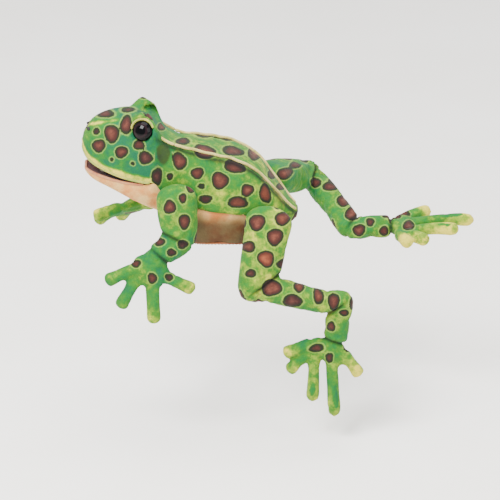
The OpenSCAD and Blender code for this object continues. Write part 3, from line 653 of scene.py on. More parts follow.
class Wardrobe:
    """Every finish of the puppet, built once."""

    def __init__(self) -> None:
        """Builds the materials."""
        self.plush = FrogPlush().build()
        self.piping = self.cloth("piping", (244, 226, 150), (206, 196, 98), scale=7500.0)
        self.lip = self.cloth("lip_piping", (186, 200, 80), (226, 212, 104), scale=7500.0)
        self.jaw_lip = self.cloth("jaw_piping", (238, 178, 128), (214, 132, 92), scale=7500.0)
        self.mouth = self.cloth("mouth_lining", (122, 34, 28), (92, 22, 20), woven=False, scale=900.0,
                                depth=0.0003)
        self.lining = self.cloth("lining_cloth", (204, 170, 128), (186, 146, 100), scale=4200.0)
        self.tape = self.cloth("binding_tape", (214, 142, 84), (180, 108, 60), scale=4800.0)
        self.wadding = self.cloth("wadding", (240, 238, 230), (222, 220, 212), woven=False, scale=420.0,
                                  depth=0.002)
        self.thread = self.cloth("dark_thread", (46, 40, 22), (30, 24, 14), scale=9000.0)
        self.stitch = self.cloth("stitch_thread", (196, 186, 110), (150, 150, 78), scale=9000.0)
        self.board = Grained("mouth_board", (206, 200, 184), (232, 228, 214), roughness=0.7, scale=400.0,
                             detail=6.0, rough=0.75, depth=0.0002, strength=0.4).build()
        self.eye = GlassyEye().build()
        self.moulded = Grained("washer_plastic", (220, 218, 208), (236, 234, 226), roughness=0.45,
                               scale=1200.0, detail=3.0, rough=0.55, depth=0.0001, strength=0.3).build()

    @staticmethod
    def cloth(name: str, colour: tuple[int, int, int], patch: tuple[int, int, int],
              **settings: float) -> Material:
        """Returns a dyed cloth from the 8-bit colours that it and its second shade should look like."""
        return Cloth(name, cloth_dye(*colour), cloth_dye(*patch), **settings).build()


def dress(obj: Piece, material: Material) -> None:
    """Gives the whole object one material."""
    obj.data.materials.clear()
    obj.data.materials.append(material)
    obj.data.polygons.foreach_set("material_index", [0] * len(obj.data.polygons))


def fit(obj: Piece, material: Material, slot: str, body: str,
        *nodes: str) -> Piece:
    """Dresses a piece and puts it on its body.

    Args:
        obj: The piece.
        material: Its finish.
        slot: Not used.
        body: The body it rides on.
        nodes: The frame's nodes that it replaces.

    Returns:
        The piece.
    """
    dress(obj, material)
    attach(obj, body)
    if nodes:
        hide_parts(*nodes)
    return obj


# ---- skins and their print ----


@dataclass
class Skin:
    """A whole sewn skin before it is cut at the joints.

    Attributes:
        name: What the skin covers.
        points: Places in millimetres.
        faces: Point numbers of each face.
        dye: Place on the scale of greens at each point, from emerald at 0 to yellow at 1.
        belly: 1 where the cloth is peach.
        shade: Painted shade, a darkening in folds, seams and hollows, under the ridges and on the belly, 1
            where there is none.
        bare: Points that the scattered spots stay off.
        normals: Its normals, once it is settled.
        edge: How far each point lies outside the nearest spot, once it is printed.
        tone: That spot's colour.
    """

    name: str
    points: Array
    faces: list[list[int]]
    dye: Array
    belly: Array
    shade: Array
    bare: Array
    normals: Array = field(default_factory=lambda: np.zeros((0, 3)))
    edge: Array = field(default_factory=lambda: np.zeros(0))
    tone: Array = field(default_factory=lambda: np.zeros(0))

    def settle(self) -> None:
        """Works out the skin's own normals."""
        whole = new_object(self.name + "_whole", self.points, self.faces)
        self.normals = normals_of(whole)
        bpy.data.objects.remove(whole)

    def cut(self, name: str, keep: Array, material: Material) -> Piece:
        """One piece of the skin, with the whole skin's normals along its cut edges.

        Args:
            name: The piece's name.
            keep: Which faces it takes.
            material: Its finish.

        Returns:
            The piece.
        """
        faces = [f for f, k in zip(self.faces, keep) if k]
        used = np.unique(np.concatenate([np.asarray(f) for f in faces]))
        number = np.full(len(self.points), -1)
        number[used] = np.arange(len(used))
        obj = new_object(name, self.points[used], [[number[i] for i in f] for f in faces])
        mesh = obj.data
        values = {"dye": self.dye, "belly": self.belly, "shade": self.shade, "spot_edge": self.edge,
                  "spot_tone": self.tone}
        for label, value in values.items():
            layer = mesh.attributes.new(label, "FLOAT", "POINT")
            layer.data.foreach_set("value", value[used].astype(np.float32))
        place = mesh.attributes.new("rest_place", "FLOAT_VECTOR", "POINT")
        place.data.foreach_set("vector", (self.points[used] * MM).astype(np.float32).ravel())
        mesh.normals_split_custom_set_from_vertices(self.normals[used].tolist())
        dress(obj, material)
        return obj


@dataclass(frozen=True)
class Spot:
    """A printed spot laid out on the frog's near side.

    Attributes:
        x: Place along the body.
        v: Height in the side view.
        w: Width.
        h: Height of the spot.
        tilt: Turn in degrees.
        tone: 0 for dark red brown, 1 for orange brown, 2 for the olive eardrum.
    """

    x: float
    v: float
    w: float
    h: float
    tilt: float = 0.0
    tone: float = 0.35


SIDE_PRINT = [
    # head
    Spot(-159, 132, 7, 8, 0, 0.1), Spot(-140, 129, 18, 21), Spot(-156, 114, 15, 16),
    Spot(-128, 106, 15, 14), Spot(-122, 140, 14, 22), Spot(-106, 115, 13, 12),
    Spot(-98, 99, 17, 15, 0, 0.1), Spot(-84, 76, 12, 20, 0, 0.1), Spot(-79, 138, 9, 9, 0, 0.8),
    Spot(-148, 154, 20, 9), Spot(-120, 159, 14, 6), Spot(-140, 97, 4, 4, 0, 0.1),
    Spot(-114, 92, 4, 4, 0, 0.1), Spot(-101, 176, 8, 5), Spot(-76, 104, 19, 27, 8, 2.0),
    # side and back
    Spot(-56, 95, 16, 21, 10), Spot(-34, 80, 15, 14), Spot(-25, 107, 26, 17, -10), Spot(-6, 71, 21, 20),
    Spot(12, 88, 26, 14, -20), Spot(28, 59, 15, 15), Spot(16, 44, 23, 14, 0, 0.5),
    Spot(50, 55, 14, 22, 15, 0.9), Spot(65, 40, 8, 8), Spot(-24, 48, 15, 10, 0, 0.1), Spot(-29, 64, 8, 6),
    Spot(-68, 76, 7, 8, 0, 0.1), Spot(-52, 120, 16, 8), Spot(10, 108, 24, 12, -8), Spot(5, 125, 19, 7, -5),
    Spot(38, 106, 17, 20, -35), Spot(-26, 128, 15, 5), Spot(59, 79, 12, 10), Spot(69, 64, 10, 9),
    # near leg
    Spot(40, 19, 20, 19), Spot(72, 24, 21, 15, 20, 0.5), Spot(62, 1, 19, 21), Spot(29, -11, 16, 14),
    Spot(51, -26, 20, 20, 0, 0.9), Spot(58, -62, 23, 21), Spot(92, -61, 12, 13, 0, 0.6),
    Spot(84, -78, 23, 15, -8, 0.1), Spot(116, -72, 12, 20, 5, 0.6), Spot(135, -79, 14, 19),
    Spot(160, -80, 10, 18, 0, 0.2), Spot(148, -93, 10, 8), Spot(132, -110, 10, 11),
    Spot(114, -137, 17, 9, 10), Spot(130, -149, 9, 11), Spot(32, -44, 12, 10, 0, 0.2),
    # near arm
    Spot(-68, 38, 14, 17), Spot(-52, 49, 9, 11), Spot(-50, 20, 14, 17), Spot(-81, -5, 12, 10, 0, 0.2),
    Spot(-52, -8, 12, 10, 0, 0.1), Spot(-66, -18, 10, 9, 0, 0.1), Spot(-110, -32, 11, 9),
    Spot(-90, -50, 11, 12), Spot(-69, -49, 9, 8, 0, 0.1), Spot(-42, 62, 11, 12, 20),
    # far leg
    Spot(75, 81, 20, 14, 15), Spot(88, 92, 14, 9, 20), Spot(100, 101, 9, 11), Spot(114, 70, 12, 12),
    Spot(132, 65, 17, 11), Spot(150, 48, 20, 14, 25), Spot(160, 31, 17, 18), Spot(168, 10, 15, 14),
    Spot(182, 20, 10, 9), Spot(199, 9, 11, 11), Spot(230, 16, 13, 12),
]


class SpotPrinter:
    """Prints the spots over all the skins at once.

    Attributes:
        spacing: Least distance between scattered spots' middles.
        reach: How far a scattered spot can reach along the skin.
        depth: How far it can reach through the skin.
        side_reach: How far a laid-out spot can reach.
        side_depth: How far it can reach away from the viewer.
        seek: How near a point must be seen to a laid-out spot's middle to carry it.
        tries: How many points are tried for the scattered spots.
        half: Least and greatest half size of a scattered spot.
        clear: Edge distance of a point that has no spot near it.
    """

    spacing: float = 23.0
    reach: float = 30.0
    depth: float = 14.0
    side_reach: float = 26.0
    side_depth: float = 24.0
    seek: float = 3.5
    tries: int = 9000
    half: tuple[float, float] = (6.0, 10.5)
    clear: float = 20.0

    def __init__(self, skins: Sequence[Skin]) -> None:
        """Gathers the skins' points and normals."""
        self.skins = skins
        self.points = np.vstack([s.points for s in skins])
        self.normals = np.vstack([s.normals for s in skins])
        self.bare = np.concatenate([s.bare for s in skins])
        self.owner = np.repeat(np.arange(len(skins)), [len(s.points) for s in skins])
        self.random = np.random.default_rng(SEED)
        self.edge = np.full(len(self.points), self.clear)
        self.tone = np.full(len(self.points), 0.4)
        self.centres: list[Array] = []

    def stamp(self, i: int, across: Array, half: tuple[float, float], tone: float) -> None:
        """Prints one spot.

        Args:
            i: The skin's point in its middle.
            across: Direction of its first half size, along the skin.
            half: The two half sizes.
            tone: Its colour, from 0 to 1.
        """
        rel, normal = self.points - self.points[i], self.normals[i]
        near = (np.abs(rel) < self.reach).all(1) & (np.abs(rel @ normal) < self.depth)
        near &= (self.normals @ normal > 0.05) & (self.owner == self.owner[i])
        self.mark(near, rel[near] @ across, rel[near] @ np.cross(normal, across), half, tone)
        self.centres.append(self.points[i])

    def mark(self, near: Array, a: Array, b: Array, half: tuple[float, float],
             tone: float) -> None:
        """Writes one spot's edge distance and colour.

        Args:
            near: Which points it can reach.
            a: Their places along its first half size.
            b: Their places along its second half size.
            half: The two half sizes.
            tone: Its colour.
        """
        angle = np.arctan2(b / half[1], a / half[0])
        p = self.random.uniform(0, 2 * math.pi, 2)
        bend = 1 + 0.05 * np.sin(2 * angle + p[0]) + 0.07 * np.sin(3 * angle + p[1])
        distance = (np.hypot(a / half[0], b / half[1]) - bend) * min(half)
        closer = distance < self.edge[near]
        where = np.flatnonzero(near)[closer]
        self.edge[where] = distance[closer]
        self.tone[where] = tone

    def side_print(self) -> None:
        """Prints the laid-out spots of the near side, each where it is seen."""
        facing = self.normals @ TO_CAMERA
        x, v = self.points[:, 0], self.points @ VIEW_UP
        depth = self.points @ TO_CAMERA
        for spot in SIDE_PRINT:
            off = np.hypot(x - spot.x, v - spot.v)
            here = (off < self.seek) & (facing > 0.05)
            if not here.any():
                continue
            i = np.flatnonzero(here)[depth[here].argmax()]
            turn = math.radians(spot.tilt)
            near = (off < self.side_reach) & (facing > -0.15) & (self.owner == self.owner[i])
            near &= np.abs(depth - depth[i]) < self.side_depth
            dx, dv = x[near] - spot.x, v[near] - spot.v
            a, b = math.cos(turn) * dx + math.sin(turn) * dv, math.cos(turn) * dv - math.sin(turn) * dx
            self.mark(near, a, b, (spot.w / 2, spot.h / 2), spot.tone)
            self.centres.append(self.points[i])

    def scatter(self) -> None:
        """Prints more spots, evenly scattered, where the near side's layout doesn't reach."""
        hidden = np.flatnonzero((self.normals @ TO_CAMERA < 0.12) & ~self.bare)
        for i in self.random.permutation(hidden)[:self.tries]:
            if min(np.linalg.norm(c - self.points[i]) for c in self.centres) < self.spacing:
                continue
            across = square_to(self.random.normal(size=3), self.normals[i])
            self.stamp(i, across, tuple(self.random.uniform(*self.half, 2)), self.random.uniform(0, 0.8))

    def run(self) -> None:
        """Prints everything and hands each skin its share."""
        self.side_print()
        self.scatter()
        start = 0
        for skin in self.skins:
            end = start + len(skin.points)
            skin.edge, skin.tone = np.clip(self.edge[start:end], -12, self.clear), self.tone[start:end]
            start = end
        LOG.info("printed %d spots", len(self.centres))


# ---- glove: head, jaw, neck and body as one skin ----


@dataclass
class GloveForm:
    """The outer form of the head, jaw and body, in millimetres along X.

    Attributes:
        mouth_x: The mouth's corner.
        front_x: Front end of the body.
        rear_x: Its rear end.
        snout_x: Tip of the snout.
        chin_x: Tip of the lower jaw.
        half_l: Half length of the hand opening.
        half_w: Its half width.
        top: Height of the middle of the head and back.
        wide: Half width.
        side: Height of the upper lip, and behind it of the seam between back and belly.
        jaw_side: Height of the lower lip.
        low: Height of the underside.
        ridge_w: Half width between the two ridges of the back.
        ridge_drop: How far the ridges lie below the middle of the back.
        twist: How much lower the far ridge starts than the near one.
        hem_lift: How far the opening's edge is drawn up at its two sides.
        wall: Thickness of the cloth.
    """

    mouth_x: float = field(default_factory=lambda: joint_at("jaw_open")[0])
    front_x: float = field(default_factory=lambda: corners("side_panel_left")[0][0])
    rear_x: float = field(default_factory=lambda: corners("side_panel_left")[1][0])
    snout_x: float = field(default_factory=lambda: corners("head_shell")[0][0] + 2.2)
    chin_x: float = field(default_factory=lambda: corners("jaw_shell")[0][0] + 1.6)
    half_l: float = field(default_factory=lambda: corners("opening_binding")[1][0])
    half_w: float = field(default_factory=lambda: corners("opening_binding")[1][1])
    twist: float = 3.2
    hem_lift: float = 8.0
    wall: float = 1.4
    ridge_drop: float = 2.5

    def __post_init__(self) -> None:
        """Draws the curves."""
        self.top = curve([(-177, 134), (-175.6, 141), (-171.5, 149.5), (-164, 159), (-150, 167),
                          (-135, 171), (-120, 172.5), (-104, 168), (-92, 158), (-82, 149), (-70, 141),
                          (-55, 134), (-38, 131), (-20, 127.5), (8, 121.5), (26, 113), (38, 105.5),
                          (50, 92.5), (62, 77), (74, 61), (86, 46.5), (90.5, 42)])
        self.wide = curve([(-177, 4), (-175.8, 9), (-173.5, 13.5), (-169, 19.5), (-163, 25), (-150, 32.5),
                           (-125, 40.5), (-100, 44), (-84, 44), (-70, 42), (-59, 43.5), (-40, 47),
                           (-10, 50.5), (15, 50.5), (40, 46), (60, 37), (75, 25.5), (86, 13), (90.5, 6)])
        self.side = curve([(-177, 128), (-175, 122), (-168, 113.5), (-150, 105), (-125, 97), (-102, 92.5),
                           (-88, 90), (-79, 79), (-68, 67), (-56, 60), (-40, 58), (0, 52), (40, 47.5),
                           (70, 42), (90.5, 36)])
        self.jaw_side = curve([(-174, 98.5), (-164, 96), (-149, 93), (-121, 88.5), (-100, 87.5), (-88, 90)])
        self.low = curve([(-174, 93.5), (-170, 88.5), (-162, 82.5), (-146, 75), (-131, 67), (-115, 57.5),
                          (-98, 49), (-84, 40), (-70, 30), (-60, 16), (-52, 5.5), (-46, 0), (46, 0),
                          (58, 4.7), (75, 16), (90.5, 29)])
        self.ridge_w = curve([(-84, 30), (-70, 33.3), (0, 33), (38, 30), (50, 26.8), (62, 22), (74, 17),
                              (86, 11), (90.5, 5)])

    def skew(self, x: Array, y: Array) -> Array:
        """Returns how far the shoulders are twisted down at a place."""
        return self.twist * np.exp(-((x + 55) / 26) ** 2) * np.clip(y / 33, -1, 1)

    def ridge_z(self, x: Array, y: Array) -> Array:
        """Returns the height of the ridge on the side of y."""
        return self.top(x) - self.ridge_drop - self.skew(x, y)

    def hem(self, x: Array, y: Array) -> Array:
        """Returns how far the belly and the opening's edge are drawn up beside the hand."""
        return self.hem_lift * np.clip(np.abs(y) / self.half_w, 0, 1) ** 2 * smooth(78, 42, np.abs(x))

    def upper(self, x: float, t: Array) -> Array:
        """A row over the back or head.

        Args:
            x: Place along the body.
            t: Places from the left side line at 0, over the top, to the right one at 1.

        Returns:
            The points.
        """
        w, s, high = float(self.wide(x)), float(self.side(x)), float(self.top(x))
        c, n = np.cos(math.pi * t), np.sin(math.pi * t)
        head_y = -np.sign(c) * w * np.abs(c) ** 0.74
        head_z = s + (high - s) * n ** 0.84
        r, ridge = float(self.ridge_w(x)), high - self.ridge_drop
        g = np.clip(np.minimum(t, 1 - t) / 0.36, 0, 1)
        f = np.clip((t - 0.5) / 0.14, -1, 1)
        on_back = (t > 0.36) & (t < 0.64)
        back_y = np.where(on_back, f * r, np.sign(t - 0.5) * (r + (w - r) * np.cos(math.pi / 2 * g) ** 0.85))
        back_z = np.where(on_back, ridge + self.ridge_drop * (1 - f * f),
                          s + (ridge - s) * np.sin(math.pi / 2 * g))
        back_z = back_z - self.skew(x, back_y)
        m = float(smooth(-98, -66, x))
        return np.stack([np.full(len(t), x), head_y * (1 - m) + back_y * m, head_z * (1 - m) + back_z * m], 1)

    def lower(self, x: float, t: Array) -> Array:
        """A row under the jaw or belly, from the right side line at 0 to the left one at 1."""
        jaw = x < self.mouth_x
        taper = 2.2 * float(smooth(self.mouth_x, self.mouth_x - 12, x)) if jaw else 0
        w = float(self.wide(x)) - taper
        s = float(self.jaw_side(x)) if jaw else float(self.side(x))
        low = float(self.low(x))
        c, n = np.cos(math.pi * t), np.sin(math.pi * t)
        jaw_y, jaw_z = np.sign(c) * w * np.abs(c) ** 0.72, s - (s - low) * n ** 0.85
        level = self.half_w * math.sqrt(max(0.0, 1 - (x / self.half_l) ** 2)) / w
        y = np.sign(c) * w * np.abs(c) ** 0.85
        rise = np.clip((np.abs(y) / w - level) / (1 - level), 0, 1)
        z = low + (s - low) * rise ** (2.5 - 1.2 * level) + self.hem(x, y) * (1 - rise)
        m = float(smooth(-100, -58, x))
        return np.stack([np.full(len(t), x), jaw_y * (1 - m) + y * m, jaw_z * (1 - m) + z * m], 1)


class Eye:
    """A glossy eye: its place comes from the frame's own dome.

    Attributes:
        height: How far the dome stands out.
        forward: How far the bulging cloth pushes it forwards of its place on the frame.
        lift: How far the cloth lifts it.
        radius: Its radius.
    """

    height: float = 10.5
    forward: float = 3.0
    lift: float = 3.4
    radius: float = 13.0

    def __init__(self, side: Side) -> None:
        """Finds the eye's seat on the frame."""
        self.side = side.value
        self.turn = side.turn
        self.aim = unit([-0.35, self.turn, 0.42])
        points = node_points("eye_" + self.side)
        top = points[(points @ self.aim).argmax()]
        self.seat = top - self.height * self.aim + [-self.forward, 0, self.lift]
        self.across = square_to([1, 0, 0], self.aim)
        self.up = square_to(square_to([0, 0, 1], self.aim), self.across)

    def about(self, points: Array) -> tuple[Array, Array]:
        """Returns how far each point lies along the eye's axis from the seat, and how far off that axis."""
        rel = points - self.seat
        along = rel @ self.aim
        return along, np.linalg.norm(rel - along[:, None] * self.aim, axis=1)

    def place(self, out: float | Array, angle: Array, along: float | Array) -> Array:
        """Returns points at a radius and angle round the eye's axis, along it from the seat."""
        angle = np.atleast_1d(angle)
        out, along = np.broadcast_to(out, angle.shape), np.broadcast_to(along, angle.shape)
        spoke = np.cos(angle)[:, None] * self.across + np.sin(angle)[:, None] * self.up
        return self.seat + out[:, None] * spoke + along[:, None] * self.aim


class Glove:
    """The head, jaw, neck and body: one skin cut into pieces, three of which follow the torso, head and jaw.

    Attributes:
        row_step: Length of a row of faces on the body.
        top_n: Points in a row over the back.
        low_n: Points in a row under the belly.
        neck_start: Rear end of the neck's skin.
        neck_end: Its front end.
        throat_end: Front end of the throat's skin.
        fold_z: Height of the mouth's corner, where the throat bends.
        bulge: Height of the bulge over each eye.
        bulge_half: Its half length to the front and to the rear, and its half width.
        inner_shade: Painted shade on the skin's inside: how bright that side is kept.
    """

    row_step: float = 2.4
    top_n: int = 74
    low_n: int = 60
    neck_start: float = -60.0
    neck_end: float = -90.0
    throat_end: float = -114.0
    fold_z: float = 70.0
    bulge: float = 19.5
    bulge_half: tuple[float, float, float] = (25.0, 19.0, 17.5)
    inner_shade: float = 0.7

    def __init__(self, wardrobe: Wardrobe) -> None:
        """Keeps the form, the eyes and the finishes."""
        self.form = GloveForm()
        self.wardrobe = wardrobe
        self.eyes = [Eye(side) for side in Side]

    def raised(self, p: Array) -> Array:
        """Returns head points lifted into the bulge over each eye and pressed flat under each eye."""
        out = p.copy()
        front, back, half_w = self.bulge_half
        for eye in self.eyes:
            centre = eye.seat + np.array([6.5, -7.0 * eye.turn, 1.0])
            rear = p[:, 0] > centre[0]
            rel = p - centre
            near = np.hypot(rel[:, 0] / np.where(rear, back, front), rel[:, 1] / half_w)
            level = 1 - smooth(np.where(rear, 0.42, 0.14), 1.12, near)
            lift = self.bulge * level * smooth(118, 140, p[:, 2])
            out += lift[:, None] * unit([-0.05, 0.28 * eye.turn, 1.0])
        for eye in self.eyes:
            along, radial = eye.about(out)
            press = smooth(eye.radius + 7.5, eye.radius - 0.5, radial) * smooth(-28, -18, along)
            press *= out[:, 1] * eye.turn > 2
            target = np.where(radial < eye.radius, -0.8, 1.2)
            out += (press * (target - along))[:, None] * eye.aim
            rim = np.exp(-((radial - eye.radius - 4.2) / 2.3) ** 2) * (along > -22) * 1.5
            out += rim[:, None] * eye.aim
        return out

    def build_skin(self) -> Skin:
        """Returns the whole glove's skin, inside and outside."""
        points, faces, upper = self.open_for_hand(*self.shell())
        obj = new_object("glove_whole", points, faces)
        outward(obj)
        if len(obj.data.vertices) != len(points):
            tree = KDTree(len(points))
            for i, p in enumerate(points):
                tree.insert(Vector(p), i)
            tree.balance()
            points = points_of(obj)
            upper = np.array([upper[tree.find(Vector(p))[1]] for p in points])
        faces = faces_of(obj)
        points = self.soften(obj, points)
        set_points(obj, points)
        normals = normals_of(obj)
        bpy.data.objects.remove(obj)
        return self.thicken(points, faces, normals, upper)

    def shell(self) -> tuple[Array, list[list[int]], Array]:
        """The closed form of the head, jaw and body.

        Returns:
            Its points, its faces, and which points lie above the mouth and the belly's seam.
        """
        form = self.form
        snout = [0, 0.004, 0.012, 0.024, *np.linspace(0.042, 1, 42)]
        chin = [0, 0.008, 0.03, *np.linspace(0.06, 1, 36)]
        shared = [*np.arange(form.mouth_x + self.row_step, form.rear_x, self.row_step), form.rear_x]
        head_x = [*(form.snout_x + (form.mouth_x - form.snout_x) * np.array(snout)), *shared]
        jaw_x = [*(form.chin_x + (form.mouth_x - form.chin_x) * np.array(chin)), *shared]
        up = np.array([form.upper(x, np.linspace(0, 1, self.top_n)) for x in head_x])
        low = np.array([form.lower(x, np.linspace(0, 1, self.low_n)) for x in jaw_x])
        n_up, n_low, base = len(up), len(low), len(up) * self.top_n
        points = np.vstack([self.raised(up.reshape(-1, 3)), low.reshape(-1, 3)])
        faces = [[a, d, c, b] for a, b, c, d in ring_faces(n_up, self.top_n, False)]
        faces += [[base + i for i in (a, d, c, b)] for a, b, c, d in ring_faces(n_low, self.low_n, False)]
        # snout, chin and rump are closed to a middle point
        tips = []
        for first, n, shift in ((0, self.top_n, (-1.2, 0, 0)), (base, self.low_n, (-1.0, 0, 0))):
            tips.append(points[first:first + n].mean(0) + shift)
            mid = len(points) + len(tips) - 1
            faces += [[mid, first + j, first + j + 1] for j in range(n - 1)]
        rump = np.concatenate([base - self.top_n + np.arange(self.top_n),
                               len(points) - self.low_n + np.arange(self.low_n)])
        tips.append(points[rump].mean(0) + (2.0, 0, 0))
        mid = len(points) + len(tips) - 1
        for first, n in ((0, self.top_n), (self.top_n, self.low_n)):
            faces += [[mid, rump[first + j + 1], rump[first + j]] for j in range(n - 1)]
        upper = np.concatenate([np.arange(len(points)) < base, [True, False, True]])
        return np.vstack([points, tips]), faces, upper

    def open_for_hand(self, points: Array, faces: list[list[int]],
                      upper: Array) -> tuple[Array, list[list[int]], Array]:
        """Cuts the hand opening out of the belly and draws its edge on to an oval.

        Args:
            points: The closed form's points.
            faces: Its faces.
            upper: Which of its points lie above the mouth and the belly's seam.

        Returns:
            The same three, for what is left.
        """
        form = self.form
        oval = (points[:, 0] / form.half_l) ** 2 + (points[:, 1] / form.half_w) ** 2
        inside = (oval < 0.97) & ~upper & (points[:, 2] < 12)
        faces = [f for f in faces if not all(inside[i] for i in f)]
        used = np.zeros(len(points), bool)
        for f in faces:
            used[f] = True
        rim = inside & used
        points[rim, :2] *= (1 / np.sqrt(oval[rim]))[:, None]
        points[rim, 2] = 0.3 + form.hem(points[rim, 0], points[rim, 1])
        number = np.cumsum(used) - 1
        return points[used], [[number[i] for i in f] for f in faces], upper[used]

    def soften(self, obj: Piece, points: Array) -> Array:
        """Returns the points with the slack folds and puckers of an unfilled body."""
        x, y, z = points.T
        body = smooth(-84, -50, x)
        seams = np.exp(-((np.abs(y) - self.form.ridge_w(x)) / 3.0) ** 2) * smooth(40, 60, z)
        seams *= smooth(-100, -80, x) * (z > self.form.side(x) + 12)
        pucker = np.sin(x * 0.55 + 2 * np.sin(x * 0.11))
        folds = (0.9 * np.sin(0.11 * x + 0.09 * z + 1.2 * np.sin(0.05 * y))
                 + 0.55 * np.sin(0.23 * x - 0.16 * z + 1.0) + 0.3 * np.sin(0.41 * x + 0.3 * y))
        dent = body * folds * 0.75 - seams * (1.3 + 0.35 * pucker)
        armpit = np.exp(-((x + 84) / 7) ** 2) * smooth(150, 100, z)
        belly_seam = np.exp(-((z - self.form.side(x)) / 2.2) ** 2) * smooth(-88, -70, x)
        dent -= 1.6 * armpit + 1.0 * belly_seam
        return points + dent[:, None] * normals_of(obj)

    def thicken(self, points: Array, faces: list[list[int]], normals: Array,
                upper: Array) -> Skin:
        """Returns the skin with an inner wall and closed edges."""
        n = len(points)
        edges = dict.fromkeys((a, b) for f in faces for a, b in zip(f, f[1:] + f[:1]))
        walls = [[b, a, a + n, b + n] for a, b in edges if (b, a) not in edges]
        inside = [[i + n for i in f[::-1]] for f in faces]
        self.upper_points = np.concatenate([upper, upper])
        whole = np.vstack([points, points - normals * self.form.wall])
        belly = self.belly(whole)
        shade = self.shade(whole, belly)
        # the inside is darkened as painted shade
        shade[n:] *= self.inner_shade
        bare = (belly > 0.3) | (np.arange(2 * n) >= n)
        skin = Skin("glove", whole, faces + inside + walls, self.dye(whole), belly, shade, bare)
        skin.settle()
        skin.normals[:n] = normals
        return skin

    def belly(self, p: Array) -> Array:
        """Returns 1 at points of peach cloth: the jaw and belly, and below the seam behind the mouth."""
        x, z = p[:, 0], p[:, 2]
        below = smooth(self.form.side(x) + 1.5, self.form.side(x) - 1.5, z)
        above = np.where(x > self.form.mouth_x, below, 0.0)
        return np.where(self.upper_points, above, 1.0) * smooth(74, 60, x)

    def dye(self, p: Array) -> Array:
        """Returns each point's place on the scale of greens: yellow at the lip, the stripe and the brows,
        whose yellow over each eye's upper side is partly a painted highlight on the bulge.
        """
        x, y, z = p.T
        lip = smooth(9.5, 4.5, z - self.form.side(x)) * self.upper_points * smooth(-80, -92, x)
        dye = 0.12 + 0.34 * smooth(-105, -40, x) + 0.12 * smooth(20, 90, x) + 0.12 * smooth(-120, -176, x)
        dye += 0.9 * lip
        seen = z * math.cos(ELEVATION) - np.abs(y) * math.sin(ELEVATION)
        nose, brow_end = np.array([-168.0, 141.0]), np.array([-132.0, 146.0])
        stripe_off = beside(np.stack([x, seen], 1), nose, brow_end)[1]
        dye += 0.6 * np.exp(-(stripe_off / 2.3) ** 2) * self.upper_points
        for eye in self.eyes:
            out, radial = eye.about(p)
            # a yellow brow band round each eye's upper side, partly a painted highlight on the top of the
            # bulge
            brow_and_highlight = np.exp(-((radial - eye.radius - 5) / 4.2) ** 2) * smooth(-4, 4, (p - eye.seat) @ eye.up)
            dye += 0.42 * brow_and_highlight * (np.abs(out) < 18)
        return dye

    def shade(self, p: Array, belly: Array) -> Array:
        """Returns each point's painted shade: a painted shadow under the ridges, and painted shade on the
        lower belly, between the bulges, in the seams and at the armpits.
        """
        x, y, z = p.T
        under = self.form.ridge_z(x, y) - z
        outside = (np.abs(y) > self.form.ridge_w(x) - 1) * smooth(-92, -80, x)
        between = np.exp(-(y / 7) ** 2) * smooth(-118, -104, x) * smooth(-78, -84, x) * smooth(150, 158, z)
        # painted shadow cast by the ridges' piping on the sides below them
        shade = 1 - 0.85 * np.exp(-((under - 3.6) / 3.0) ** 2) * outside
        # painted shade on the lower belly
        shade *= 1 - 0.86 * belly * smooth(-84, -52, x) * smooth(60, 34, z)
        # painted shade in the dip between the two eye bulges
        shade *= 1 - 0.45 * between
        # painted shade along the seam between back and belly
        shade *= 1 - 0.45 * np.exp(-((z - self.form.side(x)) / 2.0) ** 2) * smooth(-80, -60, x)
        # painted shade at the armpits
        shade *= 1 - 0.35 * np.exp(-((x + 82) / 5.0) ** 2) * smooth(140, 118, z) * smooth(60, 84, z)
        return shade

    def pieces(self, skin: Skin) -> list[Piece]:
        """Cuts the skin at the neck, the throat and the jaw; the body, head and jaw pieces ride on their
        bodies, and the neck and throat pieces are left where they lie.
        """
        middle = np.array([skin.points[f].mean(0)[0] for f in skin.faces])
        lower = np.array([not self.upper_points[f].all() for f in skin.faces])
        lower &= middle < self.form.mouth_x
        body = skin.cut("body_skin", middle > self.neck_start, self.wardrobe.plush)
        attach(body, "torso")
        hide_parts("back_panel", "side_panel_left", "side_panel_right", "belly_panel", "chest_panel")
        neck = skin.cut("neck_skin", (middle <= self.neck_start) & (middle > self.neck_end) & ~lower,
                        self.wardrobe.plush)
        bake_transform(neck)
        head = skin.cut("head_skin", (middle <= self.neck_end) & ~lower, self.wardrobe.plush)
        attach(head, "head")
        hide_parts("head_shell", "eye_mound_left", "eye_mound_right")
        throat = skin.cut("throat_skin", lower & (middle > self.throat_end), self.wardrobe.plush)
        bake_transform(throat)
        jaw = skin.cut("jaw_skin", lower & (middle <= self.throat_end), self.wardrobe.plush)
        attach(jaw, "jaw")
        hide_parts("jaw_shell")
        return [body, neck, head, throat, jaw]


# ---- limbs ----


